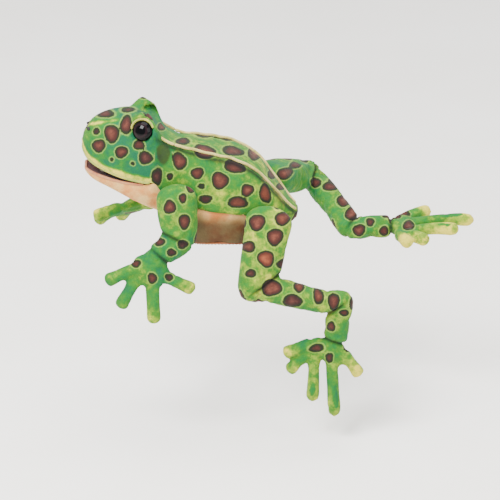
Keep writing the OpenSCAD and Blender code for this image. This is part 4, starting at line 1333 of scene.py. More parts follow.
@dataclass
class Segment:
    """One stuffed length of a limb.

    Attributes:
        start: Its first joint.
        end: Its last joint.
        axes: The directions of its side half size at each end.
        side: Half size along those axes, at each end.
        flat: Half size square to them, at each end.
        over: How far it runs on past each joint.
    """

    start: Array
    end: Array
    axes: tuple[Array, Array]
    side: tuple[float, float]
    flat: tuple[float, float]
    over: tuple[float, float]

    def solid(self, sides: int = 28, rows: int = 28) -> Mesh:
        """Returns the segment's points and faces, full in the middle and rounded at the ends."""
        d = unit(self.end - self.start)
        length = np.linalg.norm(self.end - self.start)
        whole = length + sum(self.over)
        angles = np.linspace(0, 2 * math.pi, sides, endpoint=False)
        caps = [min(0.45, 0.8 * self.flat[k] / whole) for k in (0, 1)]
        rings = []
        for s in (1 - np.cos(np.linspace(0, math.pi, rows))) / 2:
            t = min(1.0, max(0.0, (s * whole - self.over[0]) / length))
            first = max(0.0, 1 - (1 - min(1, s / caps[0])) ** 2.6) ** 0.6
            last = max(0.0, 1 - (1 - min(1, (1 - s) / caps[1])) ** 2.6) ** 0.6
            cap = max(0.04, first * last) * (1 + 0.03 * math.sin(math.pi * t))
            a = square_to((1 - t) * self.axes[0] + t * self.axes[1], d)
            b = np.cross(d, a)
            ra = cap * (self.side[0] + (self.side[1] - self.side[0]) * t)
            rb = cap * (self.flat[0] + (self.flat[1] - self.flat[0]) * t)
            centre = self.start + (s * whole - self.over[0]) * d
            rings.append(centre + ra * np.cos(angles)[:, None] * a + rb * np.sin(angles)[:, None] * b)
        return loft(np.array(rings))


def ellipsoid(centre: Array, axes: Sequence[Array], half: Sequence[float],
              power: float = 0.9) -> Mesh:
    """Returns a rounded pad about centre with three directions and half sizes."""
    rows, sides = 14, 26
    u = np.linspace(0.06, math.pi - 0.06, rows)
    w = np.linspace(0, 2 * math.pi, sides, endpoint=False)
    rings = []
    for k in u:
        c, s = np.sign(math.cos(k)) * abs(math.cos(k)) ** power, math.sin(k) ** power
        rings.append(centre - half[0] * c * axes[0] + half[1] * s * np.cos(w)[:, None] * axes[1]
                     + half[2] * s * np.sin(w)[:, None] * axes[2])
    return loft(np.array(rings))


def digit_line(node: str, root: Array) -> tuple[Array, Array]:
    """Returns the two ends of a finger's or toe's own axis, its root first."""
    p = node_points(node)
    middle = p.mean(0)
    d = np.linalg.svd(p - middle)[2][0]
    s = (p - middle) @ d
    ends = [middle + s.min() * d, middle + s.max() * d]
    ends.sort(key=lambda e: np.linalg.norm(e - root))
    return ends[0], ends[1]


@dataclass
class LimbPlan:
    """What a limb is made of.

    Attributes:
        name: "arm_left" and so on.
        joints: Names of its joints from the body outwards.
        bodies: The bodies between and after those joints.
        sides: Side half size at each joint and at the end of the last long segment.
        flats: Half size square to it at the same places.
        over_first: How far the limb reaches up past its first joint.
        inset: How far its top end lies nearer to the body than that joint.
        pad: Half sizes of the hand or foot: along, across, thick.
        digits: How many fingers or toes.
        digit: "finger" or "toe".
        digit_r: Radius of a digit.
        dyes: Place on the scale of greens at each joint, at the pad and at the digits' tips.
        spread: How far each digit is moved across the pad as the wadding pushes them apart.
        fill: Least share of its width that a segment runs on past a joint.
        crease: How hard the hinges' stitches pull, against a leg's.
    """

    name: str
    joints: list[str]
    bodies: list[str]
    sides: list[float]
    flats: list[float]
    over_first: float
    inset: float
    pad: tuple[float, float, float]
    digits: int
    digit: str
    digit_r: float
    dyes: list[float]
    spread: list[float]
    fill: float = 0.42
    crease: float = 1.0


class Limb:
    """A stuffed arm or leg: one skin over wadding, creased at its hinges.

    Attributes:
        voxel: Grain of the melted skin.
        push: Pressure of the wadding.
        cap: How far the wadding may move the skin.
        reach: How far round a hinge its crease can reach.
        bend_reach: How far from a hinge its bend can reach.
    """

    voxel: float = 2.7
    push: float = 4.0
    cap: float = 4.5
    reach: float = 34.0
    bend_reach: float = 14.0

    def __init__(self, plan: LimbPlan, wardrobe: Wardrobe) -> None:
        """Reads the limb's joints from the frame."""
        self.plan = plan
        self.wardrobe = wardrobe
        self.side = plan.name.split("_")[1]
        self.at = [joint_at(f"{j}_{self.side}") for j in plan.joints]
        self.axis = [joint_axis(f"{j}_{self.side}") for j in plan.joints]
        self.pad_node = ("palm_" if plan.digit == "finger" else "foot_") + self.side
        low, high = corners(self.pad_node)
        self.pad_at = (low + high) / 2
        self.pad_d = unit(self.pad_at - self.at[-1])
        lines = [digit_line(f"{plan.digit}_{i + 1}_{self.side}", self.pad_at) for i in range(plan.digits)]
        outer = lines[0][1] - lines[-1][1]
        across = square_to(outer, self.pad_d)
        self.lines = [(root + far * across, tip + far * across)
                      for (root, tip), far in zip(lines, plan.spread)]

    def pad_axes(self) -> tuple[Array, Array, Array]:
        """Returns the pad's directions: along it, across it and through it."""
        across = square_to(self.axis[-1], self.pad_d)
        return self.pad_d, across, np.cross(self.pad_d, across)

    def build_skin(self) -> Skin:
        """Returns the limb's skin: segments, pad and digits melted together, stuffed and creased."""
        plan, parts = self.plan, []
        last = len(self.at) - 1
        for k in range(last):
            axes = (self.axis[k], self.axis[k + 1] if k + 1 < last else self.axis[k])
            if axes[0] @ axes[1] < 0:
                axes = (axes[0], -axes[1])
            start = self.at[k] - [0, plan.inset * np.sign(self.at[0][1]), 0] if k == 0 else self.at[k]
            d = unit(self.at[k + 1] - start)
            over = (plan.over_first if k == 0 else plan.flats[2 * k - 1] * self.corner(k),
                    plan.flats[min(2 * k + 2, len(plan.flats) - 1)] * self.corner(k + 1))
            parts.append(Segment(start, self.at[k + 1], (square_to(axes[0], d), square_to(axes[1], d)),
                                 (plan.sides[2 * k], plan.sides[2 * k + 1]),
                                 (plan.flats[2 * k], plan.flats[2 * k + 1]), over).solid())
        along, across, through = self.pad_axes()
        parts.append(ellipsoid(self.pad_at, (along, across, through), plan.pad))
        neck = Segment(self.at[-1], self.pad_at, (through, through), (plan.pad[2] * 1.15, plan.pad[2]),
                       (plan.flats[-1] * 0.95, plan.pad[1] * 0.7), (4.0, 0.0))
        parts.append(neck.solid())
        for root, tip in self.lines:
            parts.append(self.digit(root, tip))
        obj = new_object(plan.name + "_whole", *join(parts))
        apply_modifier(obj, "REMESH", mode="VOXEL", voxel_size=self.voxel * MM)
        apply_modifier(obj, "SMOOTH", factor=0.5, iterations=3)
        self.crease(obj, 2.0 * plan.crease, 2.8)
        self.stuff(obj)
        apply_modifier(obj, "SUBSURF", levels=1, render_levels=1)
        self.crease(obj, 1.4 * plan.crease, 1.3)
        self.wrinkle(obj)
        return self.colour(obj)

    def runs(self, k: int) -> tuple[Array, Array]:
        """Returns the limb's directions before and after joint k."""
        after = unit(self.at[k + 1] - self.at[k]) if k + 1 < len(self.at) else self.pad_d
        return unit(self.at[k] - self.at[k - 1]), after

    def corner(self, k: int) -> float:
        """Returns how far a segment runs past joint k to fill the bend, as a share of its width."""
        before, after = self.runs(k)
        bend = math.acos(max(-1.0, min(1.0, float(before @ after))))
        return min(0.92, max(self.plan.fill, math.tan(bend / 2)))

    def digit(self, root: Array, tip: Array) -> Mesh:
        """Returns one finger or toe: a little bent and swollen towards its tip."""
        d = unit(tip - root)
        through = self.pad_axes()[2]
        length = np.linalg.norm(tip - root)
        start = root - 5 * d
        s = np.linspace(0, 1, 14)
        bend = 0.05 * length * np.sin(math.pi * s)
        path = start + np.outer(s, tip - start) + np.outer(bend, through)
        r = self.plan.digit_r * (0.94 + 0.16 * s - 0.08 * np.sin(math.pi * s) ** 2)
        r *= np.sqrt(np.clip(1 - np.clip((s - 0.86) / 0.14, 0, 1) ** 2 * 0.9, 0.06, 1))
        return tube(path, r, 14, through)

    def joint_planes(self) -> list[tuple[Array, Array, Array]]:
        """Returns the place, the normal and the inner side of each crease, after the first joint."""
        out = []
        for k in range(1, len(self.at)):
            before, after = self.runs(k)
            out.append((self.at[k], unit(before + after), after - before))
        return out

    @staticmethod
    def inside(rel: Array, inner: Array) -> Array:
        """Returns how strongly each point round a hinge is creased: least outside a sharp bend."""
        sharp = float(smooth(0.3, 1.0, np.linalg.norm(inner)))
        share = smooth(-19, 4, rel @ unit(inner))
        return 1 - sharp * 0.92 * (1 - share)

    def crease(self, obj: Piece, depth: float, width: float) -> None:
        """Draws the skin in along each hinge's stitched line."""
        p, n = points_of(obj), normals_of(obj)
        for at, normal, inner in self.joint_planes():
            rel = p - at
            off = rel @ normal
            near = np.linalg.norm(rel - off[:, None] * normal, axis=1) < self.reach
            near = near * self.inside(rel, inner)
            p = p - (near * depth * np.exp(-(off / width) ** 2))[:, None] * n
        set_points(obj, p)

    def stuff(self, obj: Piece) -> None:
        """Swells the skin by cloth simulation, held along the creases, and caps how far it moves."""
        start = points_of(obj)
        held = np.zeros(len(start))
        for at, normal, inner in self.joint_planes():
            rel = start - at
            near = np.linalg.norm(rel - np.outer(rel @ normal, normal), axis=1) < self.reach
            held = np.maximum(held, near * (np.abs(rel @ normal) < 2.5) * (self.inside(rel, inner) > 0.5))
        obj.vertex_groups.new(name="held").add([int(i) for i in np.flatnonzero(held)], 1.0, "REPLACE")
        cloth = obj.modifiers.new("Cloth", "CLOTH")
        cloth.settings.quality = 4
        cloth.settings.mass = 0.15
        cloth.settings.use_pressure = True
        cloth.settings.uniform_pressure_force = self.push
        cloth.settings.shrink_min = -0.06
        cloth.settings.vertex_group_mass = "held"
        cloth.settings.effector_weights.gravity = 0
        cloth.point_cache.frame_end = 14
        for frame_number in range(1, 15):
            bpy.context.scene.frame_set(frame_number)
        done = obj.evaluated_get(bpy.context.evaluated_depsgraph_get())
        moved = np.zeros(len(start) * 3)
        done.data.vertices.foreach_get("co", moved)
        moved = moved.reshape(-1, 3) / MM
        obj.modifiers.remove(cloth)
        bpy.context.scene.frame_set(1)
        step = moved - start
        size = np.linalg.norm(step, axis=1)
        step *= (np.minimum(size, self.cap) / np.maximum(size, 1e-9))[:, None]
        set_points(obj, start + step)
        LOG.info("%s swelled by up to %.1f mm", self.plan.name, float(np.minimum(size, self.cap).max()))

    def wrinkle(self, obj: Piece) -> None:
        """Adds the short folds that run out of each crease."""
        p, n = points_of(obj), normals_of(obj)
        move = np.zeros(len(p))
        for k, (at, normal, inner) in enumerate(self.joint_planes()):
            rel = p - at
            off = rel @ normal
            a = square_to([0.3, 1, 0.2], normal)
            b = np.cross(normal, a)
            turn = np.arctan2(rel @ a, rel @ b)
            near = np.linalg.norm(rel, axis=1) < 42
            ridges = np.sin(7 * turn + 0.09 * np.abs(off) + k) + 0.6 * np.sin(11 * turn - 1.3 + k)
            fade = np.exp(-np.abs(off) / 9) * smooth(0, 5, np.abs(off))
            move += near * ridges * fade * 0.75 * self.inside(rel, inner)
        set_points(obj, p + move[:, None] * n)

    def nearest_stretch(self, p: Array) -> tuple[Array, Array]:
        """Returns which stretch between joints is nearest to each point, and how far along it that is."""
        stations = [*self.at, self.pad_at]
        closest, which, along = np.full(len(p), 1e9), np.zeros(len(p), int), np.zeros(len(p))
        for k, (start, end) in enumerate(zip(stations, stations[1:])):
            t, gap = beside(p, start, end)
            better = gap < closest
            closest, which = np.where(better, gap, closest), np.where(better, k, which)
            along = np.where(better, t, along)
        return which, along

    def colour(self, obj: Piece) -> Skin:
        """Returns the limb's skin with its dyes and painted shade in its creases."""
        p = points_of(obj)
        plan, dyes = self.plan, np.array(self.plan.dyes)
        which, along = self.nearest_stretch(p)
        dye = dyes[which] + (dyes[which + 1] - dyes[which]) * np.clip(along, 0, 1)
        on_digit, digits = np.zeros(len(p)), np.zeros(len(p), bool)
        for root, tip in self.lines:
            t, gap = beside(p, root, tip)
            digits |= (gap < plan.digit_r * 1.5) & (t > -0.1)
            on_digit = np.maximum(on_digit, (gap < plan.digit_r * 1.35) * smooth(0.1, 0.95, t))
        dye = dye + (plan.dyes[-1] - dye) * on_digit
        # painted shade in the creases round each hinge, strongest on the inner side of a bend
        shade = np.ones(len(p))
        for at, normal, inner in self.joint_planes():
            rel = p - at
            off = rel @ normal
            near = (np.linalg.norm(rel, axis=1) < 38) * self.inside(rel, inner) ** 2
            shade -= near * 0.85 * np.exp(-(off / 2.6) ** 2)
        skin = Skin(plan.name, p, faces_of(obj), dye, np.zeros(len(p)), shade, digits)
        bpy.data.objects.remove(obj)
        skin.settle()
        return skin

    def pieces(self, skin: Skin) -> list[Piece]:
        """Cuts the skin half way between the joints; the first and last pieces ride on the limb's first and
        last bodies, and those between are left where they lie.
        """
        plan = self.plan
        mids = np.array([skin.points[f].mean(0) for f in skin.faces])
        which, along = self.nearest_stretch(mids)
        label = which + (along > np.where(which + 1 < len(self.at), 0.5, 0.45))
        for root, tip in self.lines:
            t, gap = beside(mids, root, tip)
            label = np.where((gap < plan.digit_r * 1.6) & (t > -0.1), len(self.at), label)
        made = []
        names = {"arm": ["shoulder", "elbow", "wrist", "hand"],
                 "leg": ["hip", "knee", "ankle", "instep", "foot"]}[plan.name.split("_")[0]]
        for k, part in enumerate(names):
            piece = skin.cut(f"{part}_skin_{self.side}", label == k, self.wardrobe.plush)
            if k == 0 or k == len(names) - 1:
                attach(piece, plan.bodies[0] if k == 0 else plan.bodies[-1])
            else:
                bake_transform(piece)
            made.append(piece)
        digits = [f"{plan.digit}_{i + 1}_{self.side}" for i in range(plan.digits)]
        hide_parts(self.pad_node, *digits)
        for k, body in enumerate(plan.bodies[:-1]):
            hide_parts(body)
        return made


def limb_plans() -> list[LimbPlan]:
    """Returns the plans of the two arms and the two legs, whose fullness differs from side to side."""
    plans = []
    for side in Side:
        near = side is Side.LEFT
        plans.append(LimbPlan(
            name=f"arm_{side.value}", joints=["shoulder_swing", "elbow_bend", "wrist_flex"],
            bodies=[f"{body}_{side.value}" for body in ("upper_arm", "forearm", "hand")],
            sides=[15, 14, 13.5, 11], flats=[24.5, 22.5, 19.5, 16], over_first=14.0, inset=6.0,
            pad=(20, 24, 8.5), digits=4, digit="finger", digit_r=8.3,
            dyes=[0.36, 0.3, 0.26, 0.3, 0.62] if near else [0.36, 0.42, 0.5, 0.45, 0.85],
            spread=[0, 0, 0, -2.5], fill=0.72, crease=0.6))
        plans.append(LimbPlan(
            name=f"leg_{side.value}", joints=["hip_swing", "knee_bend", "ankle_bend", "instep_flex"],
            bodies=[f"{body}_{side.value}" for body in ("thigh", "shank", "tarsus", "foot")],
            sides=[14 if near else 18, 16, 15.5, 13, 12.5, 11],
            flats=[29.5, 24, 17.5, 16, 15.5, 14.5] if near else [29.5, 20.5, 14.5, 16, 15.5, 14.5],
            over_first=2.0 if near else 17.0, inset=10.0 if near else 0.0,
            pad=(14.5, 26, 8.5), digits=5, digit="toe", digit_r=7.9,
            dyes=[0.6, 0.6, 0.5, 0.36, 0.44, 0.8] if near else [0.42, 0.42, 0.42, 0.5, 0.4, 1.0],
            spread=[1.5, 2.0, 5.0, 3.0, 4.0] if near else [0, 0, 1.0, 0, 0]))
    return plans


# ---- trims ----


class Trims:
    """Piping, mouth linings, the hand opening's tape, eyes and everything inside the glove.

    Attributes:
        welt_r: Radius of the ridges' piping.
        lip_r: Radius of the rolled lips.
        lining_wall: Thickness of the glove's and the pockets' lining.
        mouth_wall: Thickness of the mouth's cloths.
        across: Points across a mouth cloth or a pocket.
        palate_end: Where the palate's cloth meets the fold behind it.
        floor_end: Where the jaw's cloth meets that fold.
        stitches: How many running stitches go round the opening.
    """

    welt_r: float = 1.9
    lip_r: float = 1.7
    lining_wall: float = 0.8
    mouth_wall: float = 1.0
    across: int = 25
    palate_end: float = -92.0
    floor_end: float = -100.0
    stitches: int = 64

    def __init__(self, glove: Glove, wardrobe: Wardrobe) -> None:
        """Keeps the glove and the finishes."""
        self.glove = glove
        self.form = glove.form
        self.wardrobe = wardrobe

    def ridge_piping(self) -> list[Piece]:
        """The corded piping along each ridge: over the body, and over the neck as its own pieces."""
        made = []
        for side in Side:
            xs = np.arange(-92, self.form.rear_x - 1.0, 3.0)
            at = np.array([0.36 if side is Side.LEFT else 0.64])
            path = np.array([self.form.upper(x, at)[0] + [0, side.turn * 0.5, 0.9] for x in xs])
            path[:, 2] += 0.35 * np.sin(path[:, 0] * 0.3)
            cut = int(np.searchsorted(xs, self.glove.neck_start))
            node = "ridge_welt_" + side.value
            body = new_object(node + "_piping", *tube(resample(path[cut - 1:], 1.6), self.welt_r))
            neck = new_object(f"neck_welt_{side.value}_piping", *tube(resample(path[:cut], 1.6), self.welt_r))
            dress(neck, self.wardrobe.piping)
            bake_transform(neck)
            made += [fit(body, self.wardrobe.piping, "piping", "torso", node), neck]
        return made

    def lip_edge(self, x: float, upper: bool) -> Array:
        """Returns the left end of the row of head or jaw at x."""
        return (self.form.upper if upper else self.form.lower)(x, np.array([0.0 if upper else 1.0]))[0]

    def lip_row(self, rows: Array, upper: bool, out: float, drop: float) -> Array:
        """A line round a lip from one corner of the mouth over the tip to the other.

        Args:
            rows: Places along the head, from the tip to the corner.
            upper: True for the upper lip.
            out: How far the line lies outside the skin.
            drop: How far it lies above the skin's edge.

        Returns:
            The line's points.
        """
        left = np.array([self.lip_edge(x, upper) for x in rows])
        path = np.vstack([left[::-1], left * [1, -1, 1]])
        direction = path - np.array([-120.0, 0, 0])
        direction[:, 2] = 0
        direction /= np.linalg.norm(direction, axis=1)[:, None]
        return path + out * direction + [0, 0, drop]

    def lips(self) -> list[Piece]:
        """The rolled edges of the upper and lower lip."""
        made = []
        for name, body, first, stop, lift, finish in (
                ("upper_lip", "head", self.form.snout_x + 0.5, -93.0, -0.5, self.wardrobe.lip),
                ("lower_lip", "jaw", self.form.chin_x + 0.3, -101.0, 0.4, self.wardrobe.jaw_lip)):
            rows = first + (stop - first) * (1 - np.cos(np.linspace(0, math.pi / 2, 26)))
            path = self.lip_row(rows, body == "head", -0.2, lift)
            roll = new_object(name + "_roll", *tube(resample(path, 1.8), self.lip_r))
            made.append(fit(roll, finish, "lip_piping", body, name + "_welt"))
        return made

    def cloth(self, name: str, rings: Sequence[Array], wall: float) -> Piece:
        """Returns an open cloth through rows of points, with a thickness."""
        rows = np.array(rings)
        obj = new_object(name, rows.reshape(-1, 3), ring_faces(len(rows), rows.shape[1], False))
        apply_modifier(obj, "SOLIDIFY", thickness=wall * MM, offset=0.0)
        outward(obj)
        smooth_shade(obj)
        return obj

    def mouth_sheet(self, name: str, upper: bool, rows: Array, sag: float) -> Piece:
        """Returns a cloth across the mouth between the two sides of one lip."""
        grid = []
        for x in rows:
            edge = self.lip_edge(x, upper)
            f = np.linspace(-1, 1, self.across)
            crown = sag * (1 - f * f) * min(1.0, (x - rows[0]) / 20 + 0.1)
            y = f * max(1.0, abs(edge[1]) - 1.2)
            grid.append(np.stack([np.full(self.across, x), y, edge[2] + crown], 1))
        return self.cloth(name, grid, self.mouth_wall)

    def mouth(self) -> list[Piece]:
        """The red linings of the palate and the lower jaw, and the fold behind them."""
        finish, form = self.wardrobe.mouth, self.form
        rows = np.linspace(form.snout_x + 2, self.palate_end, 34)
        palate = self.mouth_sheet("palate_cloth", True, rows, 2.4)
        fit(palate, finish, "mouth_lining", "head", "palate_lining")
        rows = np.linspace(form.chin_x + 1.5, self.floor_end, 30)
        floor = self.mouth_sheet("jaw_cloth", False, rows, -1.6)
        fit(floor, finish, "mouth_lining", "jaw", "jaw_lining")
        low, high = float(form.jaw_side(self.floor_end)) - 1.2, float(form.side(self.palate_end)) + 1.8
        f, rings = np.linspace(-1, 1, self.across), []
        for t in np.linspace(0, 1, 12):
            x = self.floor_end + (self.palate_end - self.floor_end) * t + 7 * math.sin(math.pi * t)
            rings.append(np.stack([np.full(len(f), x), f * 41.5, np.full(len(f), low + (high - low) * t)], 1))
        fold = self.cloth("mouth_fold", rings, self.mouth_wall)
        dress(fold, finish)
        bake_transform(fold)
        return [palate, floor, fold]

    def rim_point(self, a: float) -> Array:
        """Returns the hand opening's edge at an angle."""
        x, y = self.form.half_l * math.cos(a), self.form.half_w * math.sin(a)
        return np.array([x, y, float(self.form.hem(x, y))])

    def rim_out(self, a: float) -> Array:
        """Returns the direction out of the hand opening at an angle."""
        return unit([math.cos(a) / self.form.half_l, math.sin(a) / self.form.half_w, 0])

    def tape(self) -> Piece:
        """The folded tape that binds the hand opening."""
        # section of the folded tape: (inwards, up)
        section = [(-2.4, 0.4), (-2.2, -1.0), (-1.0, -1.7), (0.4, -1.7), (1.5, -0.9), (2.1, 0.8), (2.2, 3.6),
                   (1.4, 4.1), (0.5, 3.6), (0.2, 1.6), (-0.6, 0.6), (-1.6, 1.0)]
        rings, count = [], 120
        for a in np.linspace(0, 2 * math.pi, count, endpoint=False):
            rim = self.rim_point(a) + [0, 0, 0.2]
            ripple = 1 + 0.1 * math.sin(26 * a)
            rings.append([rim - inward * ripple * self.rim_out(a) + np.array([0, 0, up])
                          for inward, up in section])
        n = len(section)
        faces = [[k % (count * n) for k in face] for face in ring_faces(count + 1, n)]
        obj = new_object("opening_tape", np.array(rings).reshape(-1, 3), faces)
        outward(obj)
        apply_modifier(obj, "SUBSURF", levels=1, render_levels=1)
        return fit(obj, self.wardrobe.tape, "binding_tape", "torso", "opening_binding")

    def running_stitches(self) -> Piece:
        """The running stitches in that tape."""
        parts, step = [], 2 * math.pi / self.stitches
        for k in range(self.stitches):
            ends = [self.rim_point(a) + 0.6 * self.rim_out(a) - [0, 0, 1.55]
                    for a in (step * k, step * (k + 0.6))]
            middle = (ends[0] + ends[1]) / 2 - [0, 0, 0.35]
            parts.append(tube(np.array([ends[0], middle, ends[1]]), 0.38, 6))
        return fit(new_object("opening_stitches", *join(parts)), self.wardrobe.stitch, "dark_thread", "torso")

    def lining(self) -> Piece:
        """The glove lining: the body's form again, a little smaller, open below and at the neck."""
        form, rows = self.form, []
        for x in np.linspace(form.front_x + 1, 74, 44):
            up = form.upper(x, np.linspace(0, 1, 46))
            low = form.lower(x, np.linspace(0, 0.34, 12))
            ring = np.vstack([low[::-1] * [1, -1, 1], up[1:-1], low])
            centre = np.array([x, 0, (form.top(x) + form.side(x)) / 2])
            rel = ring - centre
            size = np.linalg.norm(rel, axis=1)
            wave = 0.8 * np.sin(np.arange(len(ring)) * 0.9 + x * 0.2)
            ring = centre + rel * ((size - 4.6 + wave) / size)[:, None]
            ring[:, 2] = np.maximum(ring[:, 2], 4.6 + form.hem(x, ring[:, 1]))
            rows.append(ring)
        rows = np.array(rows)
        faces = ring_faces(len(rows), rows.shape[1], False)
        obj = new_object("glove_lining_cloth", rows.reshape(-1, 3), faces)
        outward(obj)
        apply_modifier(obj, "SOLIDIFY", thickness=self.lining_wall * MM, offset=0.0)
        return fit(obj, self.wardrobe.lining, "lining_cloth", "torso", "glove_lining")

    def pocket(self, node: str, body: str, upper: bool) -> Piece:
        """Returns a finger or thumb pocket: a soft arch of lining cloth in its node's own space."""
        low, high = corners(node)
        p = node_points(node)
        xs = np.linspace(low[0] + 0.6, high[0], 26)
        t, rings = np.linspace(0, math.pi, self.across), []
        for x in xs:
            near = p[np.abs(p[:, 0] - x) < (high[0] - low[0]) / 4 + 2]
            z0, z1, w = near[:, 2].min(), near[:, 2].max(), np.abs(near[:, 1]).max()
            y = np.cos(t) * np.abs(np.cos(t)) ** -0.4 * w * 0.97
            rise = np.sin(t) ** 0.55 * (z1 - z0)
            mid, z = (z0, z0 + rise) if upper else (z1, z1 - rise)
            tip = float(smooth(xs[0] - 1, xs[0] + 9, x)) ** 0.5
            rings.append(np.stack([np.full(len(t), x), y * (0.3 + 0.7 * tip),
                                   mid + (z - mid) * (0.35 + 0.65 * tip)], 1))
        obj = self.cloth(node + "_cloth", rings, self.lining_wall)
        return fit(obj, self.wardrobe.lining, "lining_cloth", body, node)

    def wadding(self, node: str, body: str) -> Piece:
        """Returns a lump of wadding in its node's own space, made uneven."""
        obj = bpy.data.objects.new(node + "_fill", frame["nodes"][node].data.copy())
        bpy.context.scene.collection.objects.link(obj)
        outward(obj)
        apply_modifier(obj, "REMESH", mode="VOXEL", voxel_size=2.2 * MM)
        apply_modifier(obj, "SMOOTH", factor=0.5, iterations=4)
        p = points_of(obj)
        lump = 0.6 * np.sin(p[:, 0] * 0.5) * np.sin(p[:, 1] * 0.45) * np.sin(p[:, 2] * 0.55) - 0.5
        set_points(obj, p + lump[:, None] * normals_of(obj))
        smooth_shade(obj)
        fit(obj, self.wardrobe.wadding, "wadding", body, node)
        return obj

    def eye(self, eye: Eye) -> list[Piece]:
        """Returns a glossy dome with its stem, and the light rim of skin that lies over it."""
        bpy.ops.mesh.primitive_uv_sphere_add(segments=48, ring_count=32, radius=eye.radius * MM)
        dome = bpy.context.active_object
        dome.name = f"eye_{eye.side}_dome"
        p = points_of(dome)
        up = p[:, 2] / eye.radius
        p[:, 2] = np.where(up > 0, up * (eye.height - 1) + 1, up * 1.2)
        out = (np.hypot(p[:, 0], p[:, 1]) / eye.radius).astype(np.float32)
        set_points(dome, eye.seat + p @ np.stack([eye.across, np.cross(eye.aim, eye.across), eye.aim]))
        dome.data.attributes.new("eye_radius", "FLOAT", "POINT").data.foreach_set("value", out)
        stem_path = eye.seat + np.outer([0.5, -5, -11, -17], eye.aim)
        stem = new_object("stem", *tube(stem_path, np.array([2.6, 2.4, 2.4, 2.2]), 20))
        stem.data.attributes.new("eye_radius", "FLOAT", "POINT")
        only(dome)
        stem.select_set(True)
        bpy.ops.object.join()
        smooth_shade(dome)
        angles = np.radians(np.linspace(12, 172, 26))
        lid_path = eye.place(eye.radius + 1.3, angles, 2.1 + 1.4 * np.sin(angles))
        lid_r = 1.5 + 0.3 * np.sin(np.linspace(0, math.pi, 26))
        lid = new_object(f"eyelid_{eye.side}", *tube(lid_path, lid_r))
        return [fit(dome, self.wardrobe.eye, "eye_plastic", "head", "eye_" + eye.side),
                fit(lid, self.wardrobe.lip, "lip_piping", "head")]

    def washers(self) -> Piece:
        """The toothed locking washers pushed on to the two stems inside the head."""
        parts = []
        angles = np.linspace(0, 2 * math.pi, 48, endpoint=False)
        teeth = 2.6 + 0.5 * (np.sin(8 * angles) > 0)
        # section of a washer: (radius, along the stem)
        section = [(teeth, -15.6), (4.1, -15.6), (4.4, -15.2), (4.4, -14.6), (4.1, -14.3), (teeth, -14.3)]
        for eye in self.glove.eyes:
            rings = np.array([eye.place(out, angles, along) for out, along in [*section, section[0]]])
            parts.append((rings.reshape(-1, 3), ring_faces(len(rings), len(angles))))
        obj = new_object("stem_washers", *join(parts))
        outward(obj)
        return fit(obj, self.wardrobe.moulded, "washer_plastic", "head", "eye_washers")

    def nostrils(self) -> Piece:
        """Two satin-stitched nostrils: a fan of short threads on each side of the snout."""
        parts = []
        low, high = corners("nostril_stitches")
        for side in Side:
            at = np.array([(low[0] + high[0]) / 2, side.turn * high[1] * 0.86, high[2] - 1.2])
            out = unit([-0.75, side.turn * 0.55, 0.45])
            across = square_to([0.2, 0, 1], out)
            along = np.cross(out, across)
            for k in np.linspace(-1, 1, 9):
                half = 2.3 * math.sqrt(max(0.05, 1 - (k * 0.92) ** 2))
                mid = at + along * k * 3.4 + out * 0.6
                parts.append(tube(np.array([mid - across * half - out * 0.8, mid + out * 0.5,
                                            mid + across * half - out * 0.8]), 0.42, 6))
        obj = new_object("nostrils", *join(parts))
        return fit(obj, self.wardrobe.thread, "dark_thread", "head", "nostril_stitches")

    def build(self) -> list[Piece]:
        """Makes every trim."""
        made = self.ridge_piping() + self.lips() + self.mouth()
        made += [self.tape(), self.running_stitches(), self.lining()]
        made += [self.pocket("finger_pocket", "head", True), self.pocket("thumb_pocket", "jaw", False)]
        made += [self.wadding("head_stuffing", "head"), self.wadding("jaw_stuffing", "jaw")]
        for eye in self.glove.eyes:
            made += self.eye(eye)
        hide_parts("eyelid_rims")
        made += [self.nostrils(), self.washers()]
        for node in ("palate_board", "jaw_board"):
            dress_node(frame["nodes"][node], self.wardrobe.board)
        return made


def dress_node(obj: Piece, material: Material) -> None:
    """Gives a CAD node a finish without touching its mesh."""
    if not obj.material_slots:
        obj.data.materials.append(material)
    for slot in obj.material_slots:
        slot.material = material


# ---- studio ----


@dataclass(frozen=True)
class Lamp:
    """A soft square lamp aimed at the puppet.

    Attributes:
        name: The lamp's name.
        at: Its place in metres.
        size: Its width in metres.
        power: Its power in watts.
    """

    name: str
    at: tuple[float, float, float]
    size: float
    power: float

    def build(self) -> None:
        """Makes the lamp."""
        data = bpy.data.lights.new(self.name, "AREA")
        data.energy, data.size = self.power, self.size
        lamp = bpy.data.objects.new(self.name, data)
        lamp.location = self.at
        lamp.rotation_euler = (-Vector(self.at)).to_track_quat("-Z", "Y").to_euler()
        bpy.context.scene.collection.objects.link(lamp)


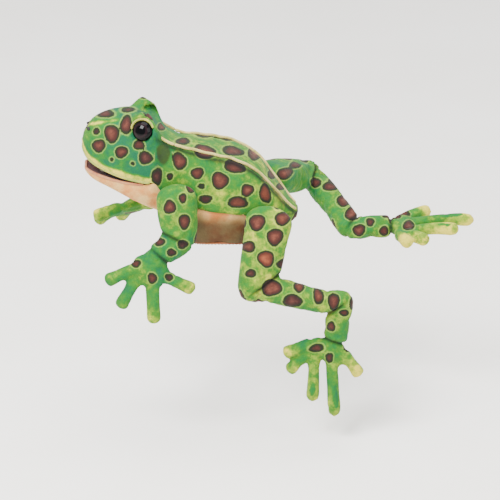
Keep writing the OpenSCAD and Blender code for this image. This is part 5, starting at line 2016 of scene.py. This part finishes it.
@dataclass
class Studio:
    """The pale floor, the soft lamps and the camera, in metres.

    Attributes:
        distance: How far away the camera stands.
        frame_width: Width of what it sees at the puppet.
        aim: What it looks at.
        floor_drop: How far the floor lies below the puppet.
        floor_half: Half width of the floor.
        sky: Brightness of the room's own light.
        lamps: The lamps.
    """

    distance: float = 9.0
    frame_width: float = 0.625
    aim: tuple[float, float, float] = (0.0312, 0.0, -0.0162)
    floor_drop: float = 0.035
    floor_half: float = 3.5
    sky: float = 1.15
    lamps: tuple[Lamp, ...] = (Lamp("key", (-1.0, -1.4, 2.1), 1.2, 175),
                               Lamp("fill", (1.6, -1.3, 0.9), 1.6, 36),
                               Lamp("top", (0.1, 0.3, 2.2), 1.8, 62))

    def build(self) -> None:
        """Makes the floor, the lamps, the world and the camera."""
        low, half = (CAD_BOX[0].z - self.floor_drop) / MM, self.floor_half / MM
        corner = [(-half, -half, low), (half, -half, low), (half, half, low), (-half, half, low)]
        floor = new_object("floor", np.array(corner), [[0, 1, 2, 3]])
        material, g, shader = new_material("studio_paper", 0.9)
        grain = g.rise(g.noise(g.own_place(), 3.0), 0.3, 0.7)
        paper = g.mix(grain, linear(246, 242, 234), linear(250, 247, 241))
        g.tree.links.new(paper, shader.inputs["Base Color"])
        dress(floor, material)
        for lamp in self.lamps:
            lamp.build()
        world = bpy.data.worlds.new("studio")
        world.use_nodes = True
        world.node_tree.nodes["Background"].inputs["Color"].default_value = (0.95, 0.97, 1.0, 1)
        world.node_tree.nodes["Background"].inputs["Strength"].default_value = self.sky
        bpy.context.scene.world = world
        data = bpy.data.cameras.new("camera")
        data.lens = data.sensor_width * self.distance / self.frame_width
        camera = bpy.data.objects.new("camera", data)
        aim = Vector(self.aim)
        camera.location = aim + Vector(TO_CAMERA) * self.distance
        camera.rotation_euler = (aim - camera.location).to_track_quat("-Z", "Y").to_euler()
        bpy.context.scene.collection.objects.link(camera)
        bpy.context.scene.camera = camera


def main() -> None:
    """Builds the puppet and reports each piece."""
    logging.basicConfig(level=logging.INFO, format="%(name)s: %(message)s")
    Studio().build()
    wardrobe = Wardrobe()
    glove = Glove(wardrobe)
    limbs = [Limb(plan, wardrobe) for plan in limb_plans()]
    makers = [glove, *limbs]
    skins = [maker.build_skin() for maker in makers]
    SpotPrinter(skins).run()
    made = [piece for maker, skin in zip(makers, skins) for piece in maker.pieces(skin)]
    made += Trims(glove, wardrobe).build()
    for piece in made:
        LOG.info("%s: %d faces", piece.name, len(piece.data.polygons))


if __name__ == "__main__":
    main()
